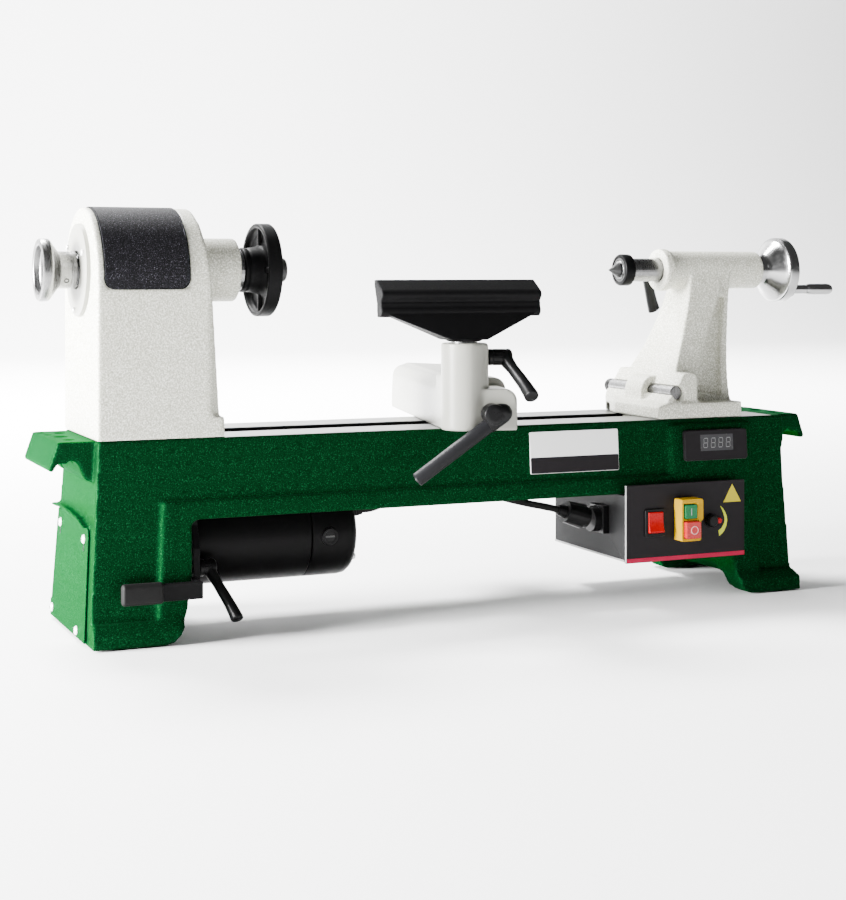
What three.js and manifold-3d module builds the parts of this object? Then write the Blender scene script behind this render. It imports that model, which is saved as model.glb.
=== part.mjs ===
// A bench-top wood lathe: cast bed, headstock, tool rest, tailstock, motor and speed control.
// Millimetres, +Z up, +X towards the tailstock, -Y towards the operator.
import * as THREE from 'three';
import { mergeVertices } from 'three/addons/utils/BufferGeometryUtils.js';
import Module from 'manifold-3d';

const wasm = await Module();
wasm.setup();

// ---------------------------------------------------------------- driving dimensions
const GAP = 0.35; // clearance between pieces that touch

// Bed
const BED_TOP = 180;
const BED_UNDER = 108;
const BED_BASE = 1; // the casting stands this far up on its rubber pads
const TOP_HALF_WIDTH = 69;
const LEG_HALF_WIDTH = 81;
const LEG_FOOT_Z = 22;
const FOOT_HALF_WIDTH = 93.5;
const RIM_PROUD = 4; // raised band round the arch, the feet and the display
const WALL = 11;
const END_LEAN = 9.5; // how far the belt end leans out over the height of the leg
const DECK = 14; // thickness of the machined deck
const SLOT_HALF = 18.5;
const SLOT_RIGHT = 345;
const LEG_LEFT_INNER = -277;
const LEG_RIGHT_INNER = 292;
const LEG_CAVITY_LEFT = [-353, -288];
const LEG_CAVITY_RIGHT = [303, 354];
const PLATE_RUNWAY_Z = 136; // above this the hollow runs from leg to leg
const FRONT_SLOPE = (LEG_HALF_WIDTH - TOP_HALF_WIDTH) / (BED_TOP - LEG_FOOT_Z);

// Spindle line
const SPINDLE_Z = 332;
const MOTOR_Z = 79.5;
const SPINDLE_R = 14.9;
const PULLEY_LEFT = -343;
const STEP_WIDTH = 18;
const SPINDLE_STEPS = [24, 36, 45];
const MOTOR_STEPS = [40, 29, 19];
const BELT_STEP = 1;
const BELT_THICK = 4;
const BELT_WIDTH = 12;

// Headstock
const HEAD_LEFT = -360;
const HEAD_RIGHT = -243;
const HEAD_RIGHT_TOP = -261;
const ARCH_R = 69;
const ARCH_Z = 320.4;
const BEARING_R = 23.2;

// Motor
const MOTOR_R = 43;
const MOTOR_LEFT = -264.5;
const BELL_LEFT = -148;
const MOTOR_RIGHT = -101;
const PIVOT_Y = 46;
const PIVOT_Z = 118;
const MOTOR_STUD = [-56, 61];
const MOTOR_LIFT = THREE.MathUtils.degToRad(5.5);

// Tool rest and its base; the base is turned about the clamp bolt
const BANJO_X = 28.5;
const BANJO_TURN = -THREE.MathUtils.degToRad(12.54);
const POST_U = -21.7;
const POST_V = -98;
const POST_R = 21.9;
const STEM_R = 12.7;
const STEM_TOP = 267.5;
const LOCK_SHAFT_Z = 197;
const LOCK_SHAFT_R = 7;
const EYE_R = 11; // eye of the bolt that the lock shaft runs through
const REST_HALF = 83.5;
const REST_BOTTOM = 264.3;
const REST_BOSS_R = 16.5;

// Tailstock
const BARREL_R = 20;
const BARREL_LEFT = 254;
const BARREL_RIGHT = 376;
const QUILL_R = 12.2;
const QUILL_LEFT = 219.8;
const QUILL_RIGHT = 333;
const TAIL_RIGHT = 314;
const WEB_FOOT = 50; // half width of the tailstock's web at its foot
const POCKET_DEPTH = 9;
const TAIL_BOLT_X = 240;
const TAIL_SHAFT_Z = 206;
const CRANK_Y = -17;
const CRANK_Z = 311;
const QUILL_LOCK_X = 261;

// Controls
const BOX_LEFT = 164;
const BOX_RIGHT = 303;
const BOX_TUB_RIGHT = 285;
const PANEL_BOTTOM = 40.4;
const PANEL_TOP = 117.7;
const PANEL_Y = -90;
const KNOB_X = 261;
const KNOB_Z = 78.5;

// The bed spans both sides of X = 0; this moves the whole lathe so its box is centred there.
const CENTRE_SHIFT_X = -33;
const CENTRE_SHIFT_Y = -26.5;

// ---------------------------------------------------------------- solids
// A closed geometry as a manifold solid, whichever way its faces were wound.
function solid(geometry) {
  const bare = geometry.index ? geometry.toNonIndexed() : geometry.clone();
  bare.deleteAttribute('normal');
  bare.deleteAttribute('uv');
  const merged = mergeVertices(bare, 1e-4);
  const position = merged.attributes.position.array;
  const corners = [];
  let volume = 0;
  const index = merged.index.array;
  for (let i = 0; i < index.length; i += 3) {
    const [a, b, c] = [index[i], index[i + 1], index[i + 2]];
    if (a === b || b === c || c === a) continue;
    corners.push(a, b, c);
    const [pa, pb, pc] = [a, b, c].map((k) => new THREE.Vector3().fromArray(position, 3 * k));
    volume += pa.dot(pb.cross(pc));
  }
  if (volume < 0) corners.reverse();
  return new wasm.Manifold(new wasm.Mesh({
    numProp: 3,
    vertProperties: Float32Array.from(position),
    triVerts: Uint32Array.from(corners),
  }));
}

function geometryOf(body) {
  const mesh = body.getMesh();
  const geometry = new THREE.BufferGeometry();
  geometry.setAttribute('position', new THREE.BufferAttribute(mesh.vertProperties, 3));
  geometry.setIndex(new THREE.BufferAttribute(mesh.triVerts, 1));
  return geometry;
}

function union(...bodies) {
  return bodies.reduce((sum, body) => sum.add(body));
}

function cut(body, ...cutters) {
  return cutters.reduce((rest, cutter) => rest.subtract(cutter), body);
}

const AXIS_FRAMES = {
  x: new THREE.Matrix4().makeBasis(
    new THREE.Vector3(0, 1, 0), new THREE.Vector3(0, 0, 1), new THREE.Vector3(1, 0, 0)),
  y: new THREE.Matrix4().makeBasis(
    new THREE.Vector3(1, 0, 0), new THREE.Vector3(0, 0, 1), new THREE.Vector3(0, -1, 0)),
  z: new THREE.Matrix4(),
};

function box(x0, x1, y0, y1, z0, z1) {
  const geometry = new THREE.BoxGeometry(x1 - x0, y1 - y0, z1 - z0);
  return solid(geometry.translate((x0 + x1) / 2, (y0 + y1) / 2, (z0 + z1) / 2));
}

// An outline carried along X (drawn in Y, Z), along Y (drawn in X, Z) or along Z (drawn in X, Y).
function prism(axis, shape, from, to, arcSteps = 6) {
  const geometry = new THREE.ExtrudeGeometry(
    shape, { depth: to - from, bevelEnabled: false, curveSegments: arcSteps });
  geometry.applyMatrix4(AXIS_FRAMES[axis]);
  if (axis === 'x') geometry.translate(from, 0, 0);
  if (axis === 'y') geometry.translate(0, to, 0);
  if (axis === 'z') geometry.translate(0, 0, from);
  return solid(geometry);
}

function outline(points) {
  return new THREE.Shape(points.map(([a, b]) => new THREE.Vector2(a, b)));
}

// A rectangle with round corners.
function roundRect(x0, x1, y0, y1, r) {
  const shape = new THREE.Shape();
  shape.absarc(x1 - r, y0 + r, r, -Math.PI / 2, 0);
  shape.absarc(x1 - r, y1 - r, r, 0, Math.PI / 2);
  shape.absarc(x0 + r, y1 - r, r, Math.PI / 2, Math.PI);
  shape.absarc(x0 + r, y0 + r, r, Math.PI, 1.5 * Math.PI);
  return shape;
}

// A round bar along an axis; a and b are the other two coordinates of its centre line.
function bar(axis, r, from, to, a = 0, b = 0, sides = 28) {
  const geometry = new THREE.CylinderGeometry(r, r, to - from, sides);
  const middle = (from + to) / 2;
  if (axis === 'x') geometry.rotateZ(Math.PI / 2).translate(middle, a, b);
  if (axis === 'y') geometry.translate(a, middle, b);
  if (axis === 'z') geometry.rotateX(Math.PI / 2).translate(a, b, middle);
  return solid(geometry);
}

// A turned piece about an axis parallel to X; profile points are [x, radius].
function turned(profile, y, z, sides = 32) {
  const points = profile.map(([x, r]) => new THREE.Vector2(r, x));
  const geometry = new THREE.LatheGeometry(points, sides);
  geometry.applyMatrix4(new THREE.Matrix4().makeBasis(
    new THREE.Vector3(0, 0, 1), new THREE.Vector3(1, 0, 0), new THREE.Vector3(0, 1, 0)));
  return solid(geometry.translate(0, y, z));
}

// A round rod between two points, thicker or thinner at its far end.
function rod(from, to, r0, r1 = r0, sides = 16) {
  const a = new THREE.Vector3(...from);
  const b = new THREE.Vector3(...to);
  const along = b.clone().sub(a);
  const geometry = new THREE.CylinderGeometry(r1, r0, along.length(), sides);
  geometry.applyQuaternion(new THREE.Quaternion().setFromUnitVectors(
    new THREE.Vector3(0, 1, 0), along.clone().normalize()));
  const middle = a.add(b).multiplyScalar(0.5);
  return solid(geometry.translate(middle.x, middle.y, middle.z));
}

function ball(x, y, z, r, sides = 14) {
  return solid(new THREE.SphereGeometry(r, sides, sides / 2).translate(x, y, z));
}

function mirrored(halfWidths) {
  const right = halfWidths.map(([w, z]) => [w, z]);
  const left = halfWidths.map(([w, z]) => [-w, z]).reverse();
  return outline([...right, ...left]);
}

// ---------------------------------------------------------------- looks
const PAINT = {
  green: { color: 0x0b4a25, roughness: 0.45, metalness: 0.1 },
  cream: { color: 0xd4d3c6, roughness: 0.45, metalness: 0.1 },
  black: { color: 0x18181a, roughness: 0.4, metalness: 0.1 },
  steel: { color: 0xb4b4b4, roughness: 0.3, metalness: 0.9 },
  chrome: { color: 0xd8d8d8, roughness: 0.12, metalness: 1 },
  castIron: { color: 0x2b2b2d, roughness: 0.5, metalness: 0.4 },
  rubber: { color: 0x141414, roughness: 0.85, metalness: 0 },
  panel: { color: 0x3a3537, roughness: 0.45, metalness: 0 },
  grey: { color: 0x6d6b6c, roughness: 0.5, metalness: 0.2 },
  white: { color: 0xf2f2f0, roughness: 0.4, metalness: 0 },
  yellow: { color: 0xe6c21e, roughness: 0.35, metalness: 0 },
  red: { color: 0xc8202a, roughness: 0.3, metalness: 0 },
  buttonGreen: { color: 0x2f8f5a, roughness: 0.3, metalness: 0 },
  board: { color: 0x1d6b3a, roughness: 0.6, metalness: 0 },
};

const lathe = new THREE.Group();
const frame = new THREE.Group();
frame.position.set(CENTRE_SHIFT_X, CENTRE_SHIFT_Y, 0);
lathe.add(frame);

function piece(name, paint, body, parent = frame) {
  const mesh = new THREE.Mesh(geometryOf(body), new THREE.MeshStandardMaterial(PAINT[paint]));
  mesh.name = name;
  parent.add(mesh);
  return mesh;
}

// ---------------------------------------------------------------- bed
// Front view of the whole casting: two legs, the arch between them and the beam over it.
function bedOutline() {
  const shape = new THREE.Shape();
  shape.moveTo(-359, BED_TOP);
  shape.lineTo(-359 - END_LEAN, LEG_FOOT_Z);
  shape.lineTo(-369, BED_BASE);
  shape.lineTo(-304, BED_BASE);
  shape.bezierCurveTo(-288, BED_BASE, -282, 22, LEG_LEFT_INNER - 0.5, 58);
  shape.lineTo(LEG_LEFT_INNER, 100);
  shape.absarc(LEG_LEFT_INNER + 8, BED_UNDER - 8, 8, Math.PI, Math.PI / 2, true);
  shape.lineTo(LEG_RIGHT_INNER - 8, BED_UNDER);
  shape.absarc(LEG_RIGHT_INNER - 8, BED_UNDER - 8, 8, Math.PI / 2, 0, true);
  shape.lineTo(297, 17);
  shape.absarc(313, 17, 16, Math.PI, 1.5 * Math.PI);
  shape.lineTo(369, BED_BASE);
  shape.lineTo(369, 16);
  shape.lineTo(366, LEG_FOOT_Z);
  shape.lineTo(362.5, 107);
  shape.lineTo(362, 146);
  shape.lineTo(365, 155);
  shape.lineTo(365, BED_TOP);
  return shape;
}

function bedSection(extra) {
  return mirrored([
    [FOOT_HALF_WIDTH, BED_BASE], [FOOT_HALF_WIDTH, 15], [LEG_HALF_WIDTH + RIM_PROUD, LEG_FOOT_Z],
    [LEG_HALF_WIDTH + extra, LEG_FOOT_Z], [TOP_HALF_WIDTH + extra, BED_TOP],
  ]);
}

// The carrying handle cast on each end, with finger scallops underneath.
function handleOutline() {
  const shape = new THREE.Shape();
  shape.moveTo(-355, BED_TOP);
  shape.lineTo(-391, BED_TOP);
  shape.quadraticCurveTo(-392.5, BED_TOP, -393, 178.5);
  shape.lineTo(-400.4, 157);
  shape.quadraticCurveTo(-400, 153.5, -396.6, 153.6);
  shape.quadraticCurveTo(-393.5, 161.5, -390, 161.6);
  shape.quadraticCurveTo(-387, 161.8, -386, 159.8);
  shape.quadraticCurveTo(-383, 163.7, -380, 163.5);
  shape.quadraticCurveTo(-374, 162, -372, 153.5);
  shape.quadraticCurveTo(-370, 145.5, -364, 144.4);
  shape.lineTo(-355, 144.4);
  return shape;
}

const HANDLE_HALF = 58;
const TOOL_HOLES = [[-378, -2, 6], [-372, 32, 4.5], [-378, -34, 4.5], [-386, 20, 3], [-387, 42, 3]];

function makeBed() {
  const front = bedOutline();
  let bed = prism('x', bedSection(0), -372, 372).intersect(prism('y', front, -100, 100));
  // Raised band below this line: round the arch, along the feet and behind the display.
  const recess = outline([
    [-380, LEG_FOOT_Z], [-307, LEG_FOOT_Z], [-301, 125], [229, 125], [229, 175], [321, 175],
    [321, 125], [318, 125], [326, 20], [380, 20], [380, 185], [-380, 185],
  ]);
  let band = prism('x', bedSection(RIM_PROUD), -372, 372).intersect(prism('y', front, -100, 100));
  band = cut(band, prism('y', recess, -100, 100));
  bed = bed.add(band);

  const handle = prism('y', handleOutline(), -HANDLE_HALF, HANDLE_HALF, 4);
  bed = bed.add(handle).add(handle.mirror([1, 0, 0]));

  // Hollow underside: beam, both legs and the runway that the clamp plates slide in.
  const deckUnder = BED_TOP - DECK;
  const inner = TOP_HALF_WIDTH - WALL;
  const hollow = mirrored([[inner + 11, -5], [inner + 11, 30], [inner, deckUnder]]);
  const runway = mirrored([[inner + 2, PLATE_RUNWAY_Z], [inner, deckUnder]]);
  bed = cut(
    bed,
    prism('x', hollow, LEG_LEFT_INNER, LEG_RIGHT_INNER),
    prism('x', hollow, ...LEG_CAVITY_LEFT),
    prism('x', hollow, ...LEG_CAVITY_RIGHT),
    prism('x', runway, LEG_CAVITY_LEFT[1] - 1, LEG_CAVITY_RIGHT[0] + 1),
    box(-290, SLOT_RIGHT, -SLOT_HALF, SLOT_HALF, 150, 190),
    box(-347, -288, -48, 48, 150, 190), // the belt runs up through here
    box(-380, -340, -48, 66, 12, 96), // access window behind the end cover
    box(-290, -275, -15, 12, 67, 99), // motor shaft
    bar('x', 5.3, -290, -275, PIVOT_Y, PIVOT_Z, 16),
    bar('x', 4.3, -290, -275, ...MOTOR_STUD, 16),
  );
  for (const [x, y, r] of TOOL_HOLES) {
    bed = cut(bed, bar('z', r, 140, 190, x, y, 16), bar('z', r, 140, 190, -x, y, 16));
  }
  for (const x of [-345, 345]) {
    for (const y of [-81, 81]) bed = bed.subtract(bar('z', 10.4, -2, 8.4, x, y, 20));
  }
  // Cross webs tie the two walls of the beam together.
  for (const x of [75, 190]) bed = bed.add(box(x - 4, x + 4, -inner - 3, inner + 3, 112, 133));
  return bed;
}

piece('bed', 'green', makeBed());
for (const [side, x] of [['left', -345], ['right', 345]]) {
  for (const [row, y] of [['front', -81], ['rear', 81]]) {
    piece(`rubber_foot_${row}_${side}`, 'rubber', bar('z', 10, 0, 8, x, y, 20));
  }
}

// Sheet cover over the belt end of the bed, leaning with the leg.
{
  const shape = new THREE.Shape();
  shape.moveTo(-68, 3);
  shape.lineTo(-60, 90);
  shape.absarc(-46, 92, 14, Math.PI, Math.PI / 2, true);
  shape.lineTo(70, 106);
  shape.lineTo(78, 3);
  const cover = piece('end_cover', 'green', prism('x', shape, -1.6, 0));
  cover.rotation.y = Math.atan(END_LEAN / (BED_TOP - LEG_FOOT_Z));
  cover.position.set(-370.4, 0, 0);
}

// ---------------------------------------------------------------- headstock
const COVER_X = [-352, -275];
const COVER_FRONT_Z = 316;
const COVER_BACK_ANGLE = THREE.MathUtils.degToRad(40); // behind the top of the arch

// Part of a ring round the arch, from the back edge over the top and down the front.
function archBand(r0, r1, frontZ, backAngle) {
  const shape = new THREE.Shape();
  const back = Math.PI / 2 - backAngle;
  shape.moveTo(-r1, frontZ);
  shape.lineTo(-r1, ARCH_Z);
  shape.absarc(0, ARCH_Z, r1, Math.PI, back, true);
  shape.absarc(0, ARCH_Z, r0, back, Math.PI);
  shape.lineTo(-r0, frontZ);
  return shape;
}

function makeHeadstock() {
  const side = new THREE.Shape();
  side.moveTo(-ARCH_R, BED_TOP + GAP);
  side.lineTo(ARCH_R, BED_TOP + GAP);
  side.lineTo(ARCH_R, ARCH_Z);
  side.absarc(0, ARCH_Z, ARCH_R, 0, Math.PI);
  const front = outline([
    [HEAD_LEFT, 170], [HEAD_RIGHT, 170], [HEAD_RIGHT, 198], [HEAD_RIGHT - 2, 199],
    [HEAD_RIGHT_TOP, 390], [HEAD_LEFT, 390],
  ]);
  let head = prism('x', side, -370, -230, 20).intersect(prism('y', front, -80, 80));
  const bevel = outline([[-257, -70], [-240, -70], [-240, -53]]);
  const rearBevel = outline([[-257, 70], [-240, 53], [-240, 70]]);
  head = cut(head, prism('z', bevel, 199, 400), prism('z', rearBevel, 199, 400));
  head = head.add(bar('x', 30, -270, -214, 0, SPINDLE_Z, 36));

  // Pulley chamber with an arched roof, and a second hollow below the front bearing.
  const chamber = new THREE.Shape();
  chamber.moveTo(-60, 150);
  chamber.lineTo(60, 150);
  chamber.lineTo(60, ARCH_Z);
  chamber.absarc(0, ARCH_Z, 60, 0, Math.PI);
  return cut(
    head,
    prism('x', chamber, -346, -286, 16),
    box(-279, -251, -58, 58, 150, 292),
    prism('x', archBand(ARCH_R - 2.6, ARCH_R + 10, COVER_FRONT_Z - 0.5, COVER_BACK_ANGLE + 0.08),
      COVER_X[0] - 0.5, COVER_X[1] + 0.5, 14),
    prism('x', archBand(50, ARCH_R + 10, COVER_FRONT_Z + 3.5, COVER_BACK_ANGLE - 0.1),
      -345, -286, 14),
    bar('x', 17.5, -370, -200, 0, SPINDLE_Z, 36),
    bar('x', BEARING_R + 0.3, -370, -347, 0, SPINDLE_Z, 36),
    bar('x', BEARING_R + 0.3, -231, -200, 0, SPINDLE_Z, 36),
  );
}

piece('headstock', 'cream', makeHeadstock());
piece('belt_cover', 'black', prism(
  'x', archBand(ARCH_R - 2.2, ARCH_R + 0.6, COVER_FRONT_Z, COVER_BACK_ANGLE), ...COVER_X, 14));

function ring(rOut, rIn, x0, x1, y = 0, z = SPINDLE_Z) {
  return turned([[x0, rIn], [x0, rOut], [x1, rOut], [x1, rIn], [x0, rIn]], y, z, 36);
}

piece('rear_bearing', 'steel', ring(BEARING_R, SPINDLE_R + 0.3, -359.5, -347.5));
piece('front_bearing', 'steel', ring(BEARING_R, SPINDLE_R + 0.3, -230.5, -215));
piece('bearing_cap', 'cream', ring(40, 18, -364, HEAD_LEFT - GAP));

// ---------------------------------------------------------------- spindle line
piece('spindle', 'steel', turned([
  [-386, 5], [-386, 13.5], [-364, 13.5], [-364, SPINDLE_R], [-213.5, SPINDLE_R], [-213.5, 19.5],
  [-208, 19.5], [-208, 16], [-186, 16], [-186, 9.2], [-238, 8], [-238, 5], [-386, 5],
], 0, SPINDLE_Z));

function steppedPulley(radii, bore, axisZ) {
  const profile = [[PULLEY_LEFT, bore]];
  radii.forEach((r, i) => {
    profile.push([PULLEY_LEFT + i * STEP_WIDTH, r], [PULLEY_LEFT + (i + 1) * STEP_WIDTH, r]);
  });
  profile.push([PULLEY_LEFT + radii.length * STEP_WIDTH, bore], [PULLEY_LEFT, bore]);
  return turned(profile, 0, axisZ, 36);
}

piece('spindle_pulley', 'castIron', steppedPulley(SPINDLE_STEPS, SPINDLE_R + 0.3, SPINDLE_Z));
piece('faceplate', 'castIron', turned([
  [-207.5, 16.4], [-207.5, 21], [-185, 21], [-183, 39.5], [-192, 40.5], [-192, 43.5],
  [-191, 44.3], [-179, 44.3], [-178, 43.3], [-178, 16.4], [-207.5, 16.4],
], 0, SPINDLE_Z, 44));
piece('spur_centre', 'steel', turned([
  [-236, 0], [-236, 7.7], [-187, 8.8], [-176.5, 8.8], [-176.5, 12], [-165, 12], [-162.8, 10.6],
  [-167, 8], [-167, 2.8], [-159.4, 0],
], 0, SPINDLE_Z, 24));
piece('outboard_wheel', 'steel', turned([
  [-365.5, 13.9], [-365.5, 17], [-382.6, 17], [-389.6, 27.5], [-390.4, 28.7], [-397.7, 28.7],
  [-398.7, 27.5], [-398.7, 20], [-392, 18.5], [-392, 13.9], [-365.5, 13.9],
], 0, SPINDLE_Z, 40));

// ---------------------------------------------------------------- drive
// The flat loop of the belt round both middle steps.
function beltOutline(thickness) {
  const top = SPINDLE_STEPS[BELT_STEP] + GAP + thickness;
  const bottom = MOTOR_STEPS[BELT_STEP] + GAP + thickness;
  const lean = Math.asin((top - bottom) / (SPINDLE_Z - MOTOR_Z));
  const path = new THREE.Path();
  path.absarc(0, SPINDLE_Z, top, -lean, Math.PI + lean);
  path.absarc(0, MOTOR_Z, bottom, Math.PI + lean, 2 * Math.PI - lean);
  return path;
}

{
  const loop = new THREE.Shape(beltOutline(BELT_THICK).getPoints(14));
  loop.holes.push(new THREE.Path(beltOutline(0).getPoints(14)));
  const middle = PULLEY_LEFT + (BELT_STEP + 0.5) * STEP_WIDTH;
  piece('drive_belt', 'rubber', prism('x', loop, middle - BELT_WIDTH / 2, middle + BELT_WIDTH / 2));
}

piece('motor_shaft', 'steel', bar('x', 7.9, -345, -264.9, 0, MOTOR_Z, 24));
piece('motor_pulley', 'castIron', steppedPulley(MOTOR_STEPS, 8.2, MOTOR_Z));

const PLATE_X = [-271.5, -265.5];
// Curved slot round the pivot, so the motor can be lifted to slacken the belt.
function tiltSlot(halfWidth) {
  const [y, z] = [MOTOR_STUD[0] - PIVOT_Y, MOTOR_STUD[1] - PIVOT_Z];
  const radius = Math.hypot(y, z);
  const from = Math.atan2(z, y) - 0.05;
  const to = from + MOTOR_LIFT + 0.1;
  const shape = new THREE.Shape();
  shape.absarc(PIVOT_Y, PIVOT_Z, radius + halfWidth, from, to);
  shape.absarc(PIVOT_Y, PIVOT_Z, radius - halfWidth, to, from, true);
  return shape;
}

function makeMotorPlate() {
  const shape = new THREE.Shape();
  shape.absarc(-54, 46, 12, Math.PI, 1.5 * Math.PI);
  shape.absarc(46, 46, 12, -Math.PI / 2, 0);
  shape.absarc(46, 116, 12, 0, Math.PI / 2);
  shape.absarc(-49, 120, 8, Math.PI / 2, Math.PI);
  shape.lineTo(-57, 100);
  shape.lineTo(-66, 80);
  return cut(
    prism('x', shape, ...PLATE_X),
    bar('x', 12, -280, -260, 0, MOTOR_Z, 24),
    bar('x', 5.3, -280, -260, PIVOT_Y, PIVOT_Z, 16),
    prism('x', tiltSlot(4.5), -280, -260),
  );
}

piece('motor_plate', 'castIron', makeMotorPlate());
piece('motor_pivot_pin', 'steel', turned([
  [-287, 0], [-287, 4.9], [-265, 4.9], [-265, 8], [-259, 8], [-259, 0],
], PIVOT_Y, PIVOT_Z, 16));
piece('motor_body', 'black', turned([
  [MOTOR_LEFT, 0], [MOTOR_LEFT, MOTOR_R - 2], [MOTOR_LEFT + 2, MOTOR_R], [BELL_LEFT - GAP, MOTOR_R],
  [BELL_LEFT - GAP, 0],
], 0, MOTOR_Z, 40));
const BRUSH_X = -132;
const GLAND_Y = -20;
const GLAND_Z = 100;
piece('motor_end_bell', 'black', cut(union(
  turned([
    [BELL_LEFT, 0], [BELL_LEFT, MOTOR_R], [MOTOR_RIGHT - 12, MOTOR_R], [MOTOR_RIGHT - 5, MOTOR_R - 2.5],
    [MOTOR_RIGHT - 1.5, MOTOR_R - 7], [MOTOR_RIGHT, MOTOR_R - 13], [MOTOR_RIGHT, 0],
  ], 0, MOTOR_Z, 40),
  bar('x', 6, MOTOR_RIGHT - 8, -91, GLAND_Y, GLAND_Z, 16),
), bar('y', 8.4, -60, -36, BRUSH_X, MOTOR_Z, 20)));
piece('brush_cap', 'black', bar('y', 8, -44.5, -36.4, BRUSH_X, MOTOR_Z, 20));

// Flat steel lever: forward from the edge of the motor plate, then left in front of the leg.
const TENSION_Z = [40, 55.5];
piece('tension_lever', 'castIron', prism('z', outline([
  [-276, -66.4], [-276, -90], [-341, -90], [-341, -95], [-271, -95], [-271, -66.4],
]), ...TENSION_Z));
piece('tension_lever_grip', 'rubber', cut(
  prism('x', roundRect(-97.4, -87.6, TENSION_Z[0] - 1.8, TENSION_Z[1] + 1.8, 3.5), -344, -307, 3),
  box(-341.4, -300, -95.4, -89.6, TENSION_Z[0] - 0.4, TENSION_Z[1] + 0.4),
));

// A ratchet clamp lever: threaded stud and hub along +X from the origin, arm leaning outwards.
const LEVER = { hubR: 8, lean: 18, neckR: 5.6, endR: 7 };
function clampLever(studLength, hub, reach) {
  const root = hub - 7;
  return union(
    bar('x', 3.9, -studLength, 1, 0, 0, 12),
    turned([[0, 0], [0, 7], [4, LEVER.hubR], [hub - 3, LEVER.hubR], [hub, 5.5], [hub, 0]], 0, 0, 20),
    rod([root, 0, 0], [root + LEVER.lean, 0, -reach], LEVER.neckR, LEVER.endR, 12),
    ball(root + LEVER.lean, 0, -reach, LEVER.endR, 12),
  );
}

const motorLock = piece('motor_lock_lever', 'black', clampLever(20, 17, 48));
motorLock.position.set(PLATE_X[1] + GAP, ...MOTOR_STUD);
motorLock.rotation.x = -THREE.MathUtils.degToRad(34);

// ---------------------------------------------------------------- tool rest and its base
const plateTop = BED_TOP - DECK - 0.5;
piece('banjo_clamp_plate', 'castIron', cut(
  prism('z', roundRect(BANJO_X - 38, BANJO_X + 38, -42, 42, 6), plateTop - 12, plateTop),
  bar('z', 6.6, 140, 175, BANJO_X, 0, 20),
));

const banjoFrame = new THREE.Group();
banjoFrame.position.set(BANJO_X, 0, 0);
banjoFrame.rotation.z = BANJO_TURN;
frame.add(banjoFrame);

// Eye bolt: the eccentric shaft runs through the eye and pulls the plate up under the ways.
function clampBolt(eyeZ) {
  const nut = new THREE.CylinderGeometry(10.5, 10.5, 10, 6).rotateX(Math.PI / 2);
  const eye = cut(bar('y', EYE_R, -8, 8, 0, 0, 24), bar('y', LOCK_SHAFT_R + 0.4, -15, 15, 0, 0, 20));
  return union(
    eye.translate([0, 0, eyeZ]),
    bar('z', 6, plateTop - 25, eyeZ - 9, 0, 0, 20),
    solid(nut.translate(0, 0, plateTop - 12.5 - 5)),
  );
}

piece('banjo_clamp_bolt', 'steel', clampBolt(LOCK_SHAFT_Z), banjoFrame);

function makeBanjo() {
  const base = BED_TOP + 0.4;
  const arm = new THREE.Shape();
  arm.moveTo(-41.6, base);
  arm.lineTo(26.4, base);
  arm.lineTo(26.4, 216);
  arm.absarc(14.4, 216, 12, 0, Math.PI / 2);
  arm.lineTo(-27.6, 230);
  arm.absarc(-29.6, 216, 12, Math.PI / 2, Math.PI);
  const front = new THREE.Shape();
  front.moveTo(-10, base);
  front.lineTo(26.4, base);
  front.lineTo(26.4, 208);
  front.absarc(14.4, 208, 12, 0, Math.PI / 2);
  front.lineTo(-10, 220);
  let banjo = union(
    prism('y', arm, -70, 186),
    prism('y', front, -116, -60),
    bar('z', POST_R, base, 263, POST_U, POST_V, 36),
    prism('z', roundRect(POST_U, 0.2, POST_V - 13, POST_V + 13, 5), 200, 262),
    prism('z', roundRect(-41.6, 0, -98, -60, 3), base, 232),
  );
  // Rear end slopes down and inwards.
  const rear = outline([[186, 250], [186, 212], [192, 170], [172, 250]]);
  banjo = cut(
    banjo,
    prism('x', rear, -60, 60),
    box(-14, 14, -66, 172, 150, 216),
    bar('y', LOCK_SHAFT_R + 0.35, -130, 200, 0, LOCK_SHAFT_Z, 24),
    bar('z', STEM_R + 0.2, 150, 280, POST_U, POST_V, 32),
    bar('x', 4.2, POST_U, 5, POST_V, 249, 14),
  );
  return banjo;
}

piece('banjo', 'cream', makeBanjo(), banjoFrame);
const shaftHead = -119; // where the shaft meets its handle
piece('banjo_lock_shaft', 'steel', bar('y', LOCK_SHAFT_R, shaftHead, 188, 0, LOCK_SHAFT_Z, 24),
  banjoFrame);
piece('banjo_lock_handle', 'castIron', union(
  bar('y', 9.5, -134, shaftHead - GAP, 0, LOCK_SHAFT_Z, 24),
  rod([0, -127, LOCK_SHAFT_Z], [9, -127, LOCK_SHAFT_Z + 1], 7.5),
  ball(9, -127, LOCK_SHAFT_Z + 1, 7.5),
  rod([9, -127, LOCK_SHAFT_Z + 1], [-73, -127, 137], 6.8, 6.2),
), banjoFrame);
piece('tool_rest_stem', 'steel', bar('z', STEM_R, 205, STEM_TOP, POST_U, POST_V, 32), banjoFrame);

const restLock = piece('rest_lock_lever', 'black', clampLever(7.6, 24, 44), banjoFrame);
restLock.position.set(0.8, POST_V, 249);
restLock.rotation.x = -THREE.MathUtils.degToRad(42);

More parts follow.
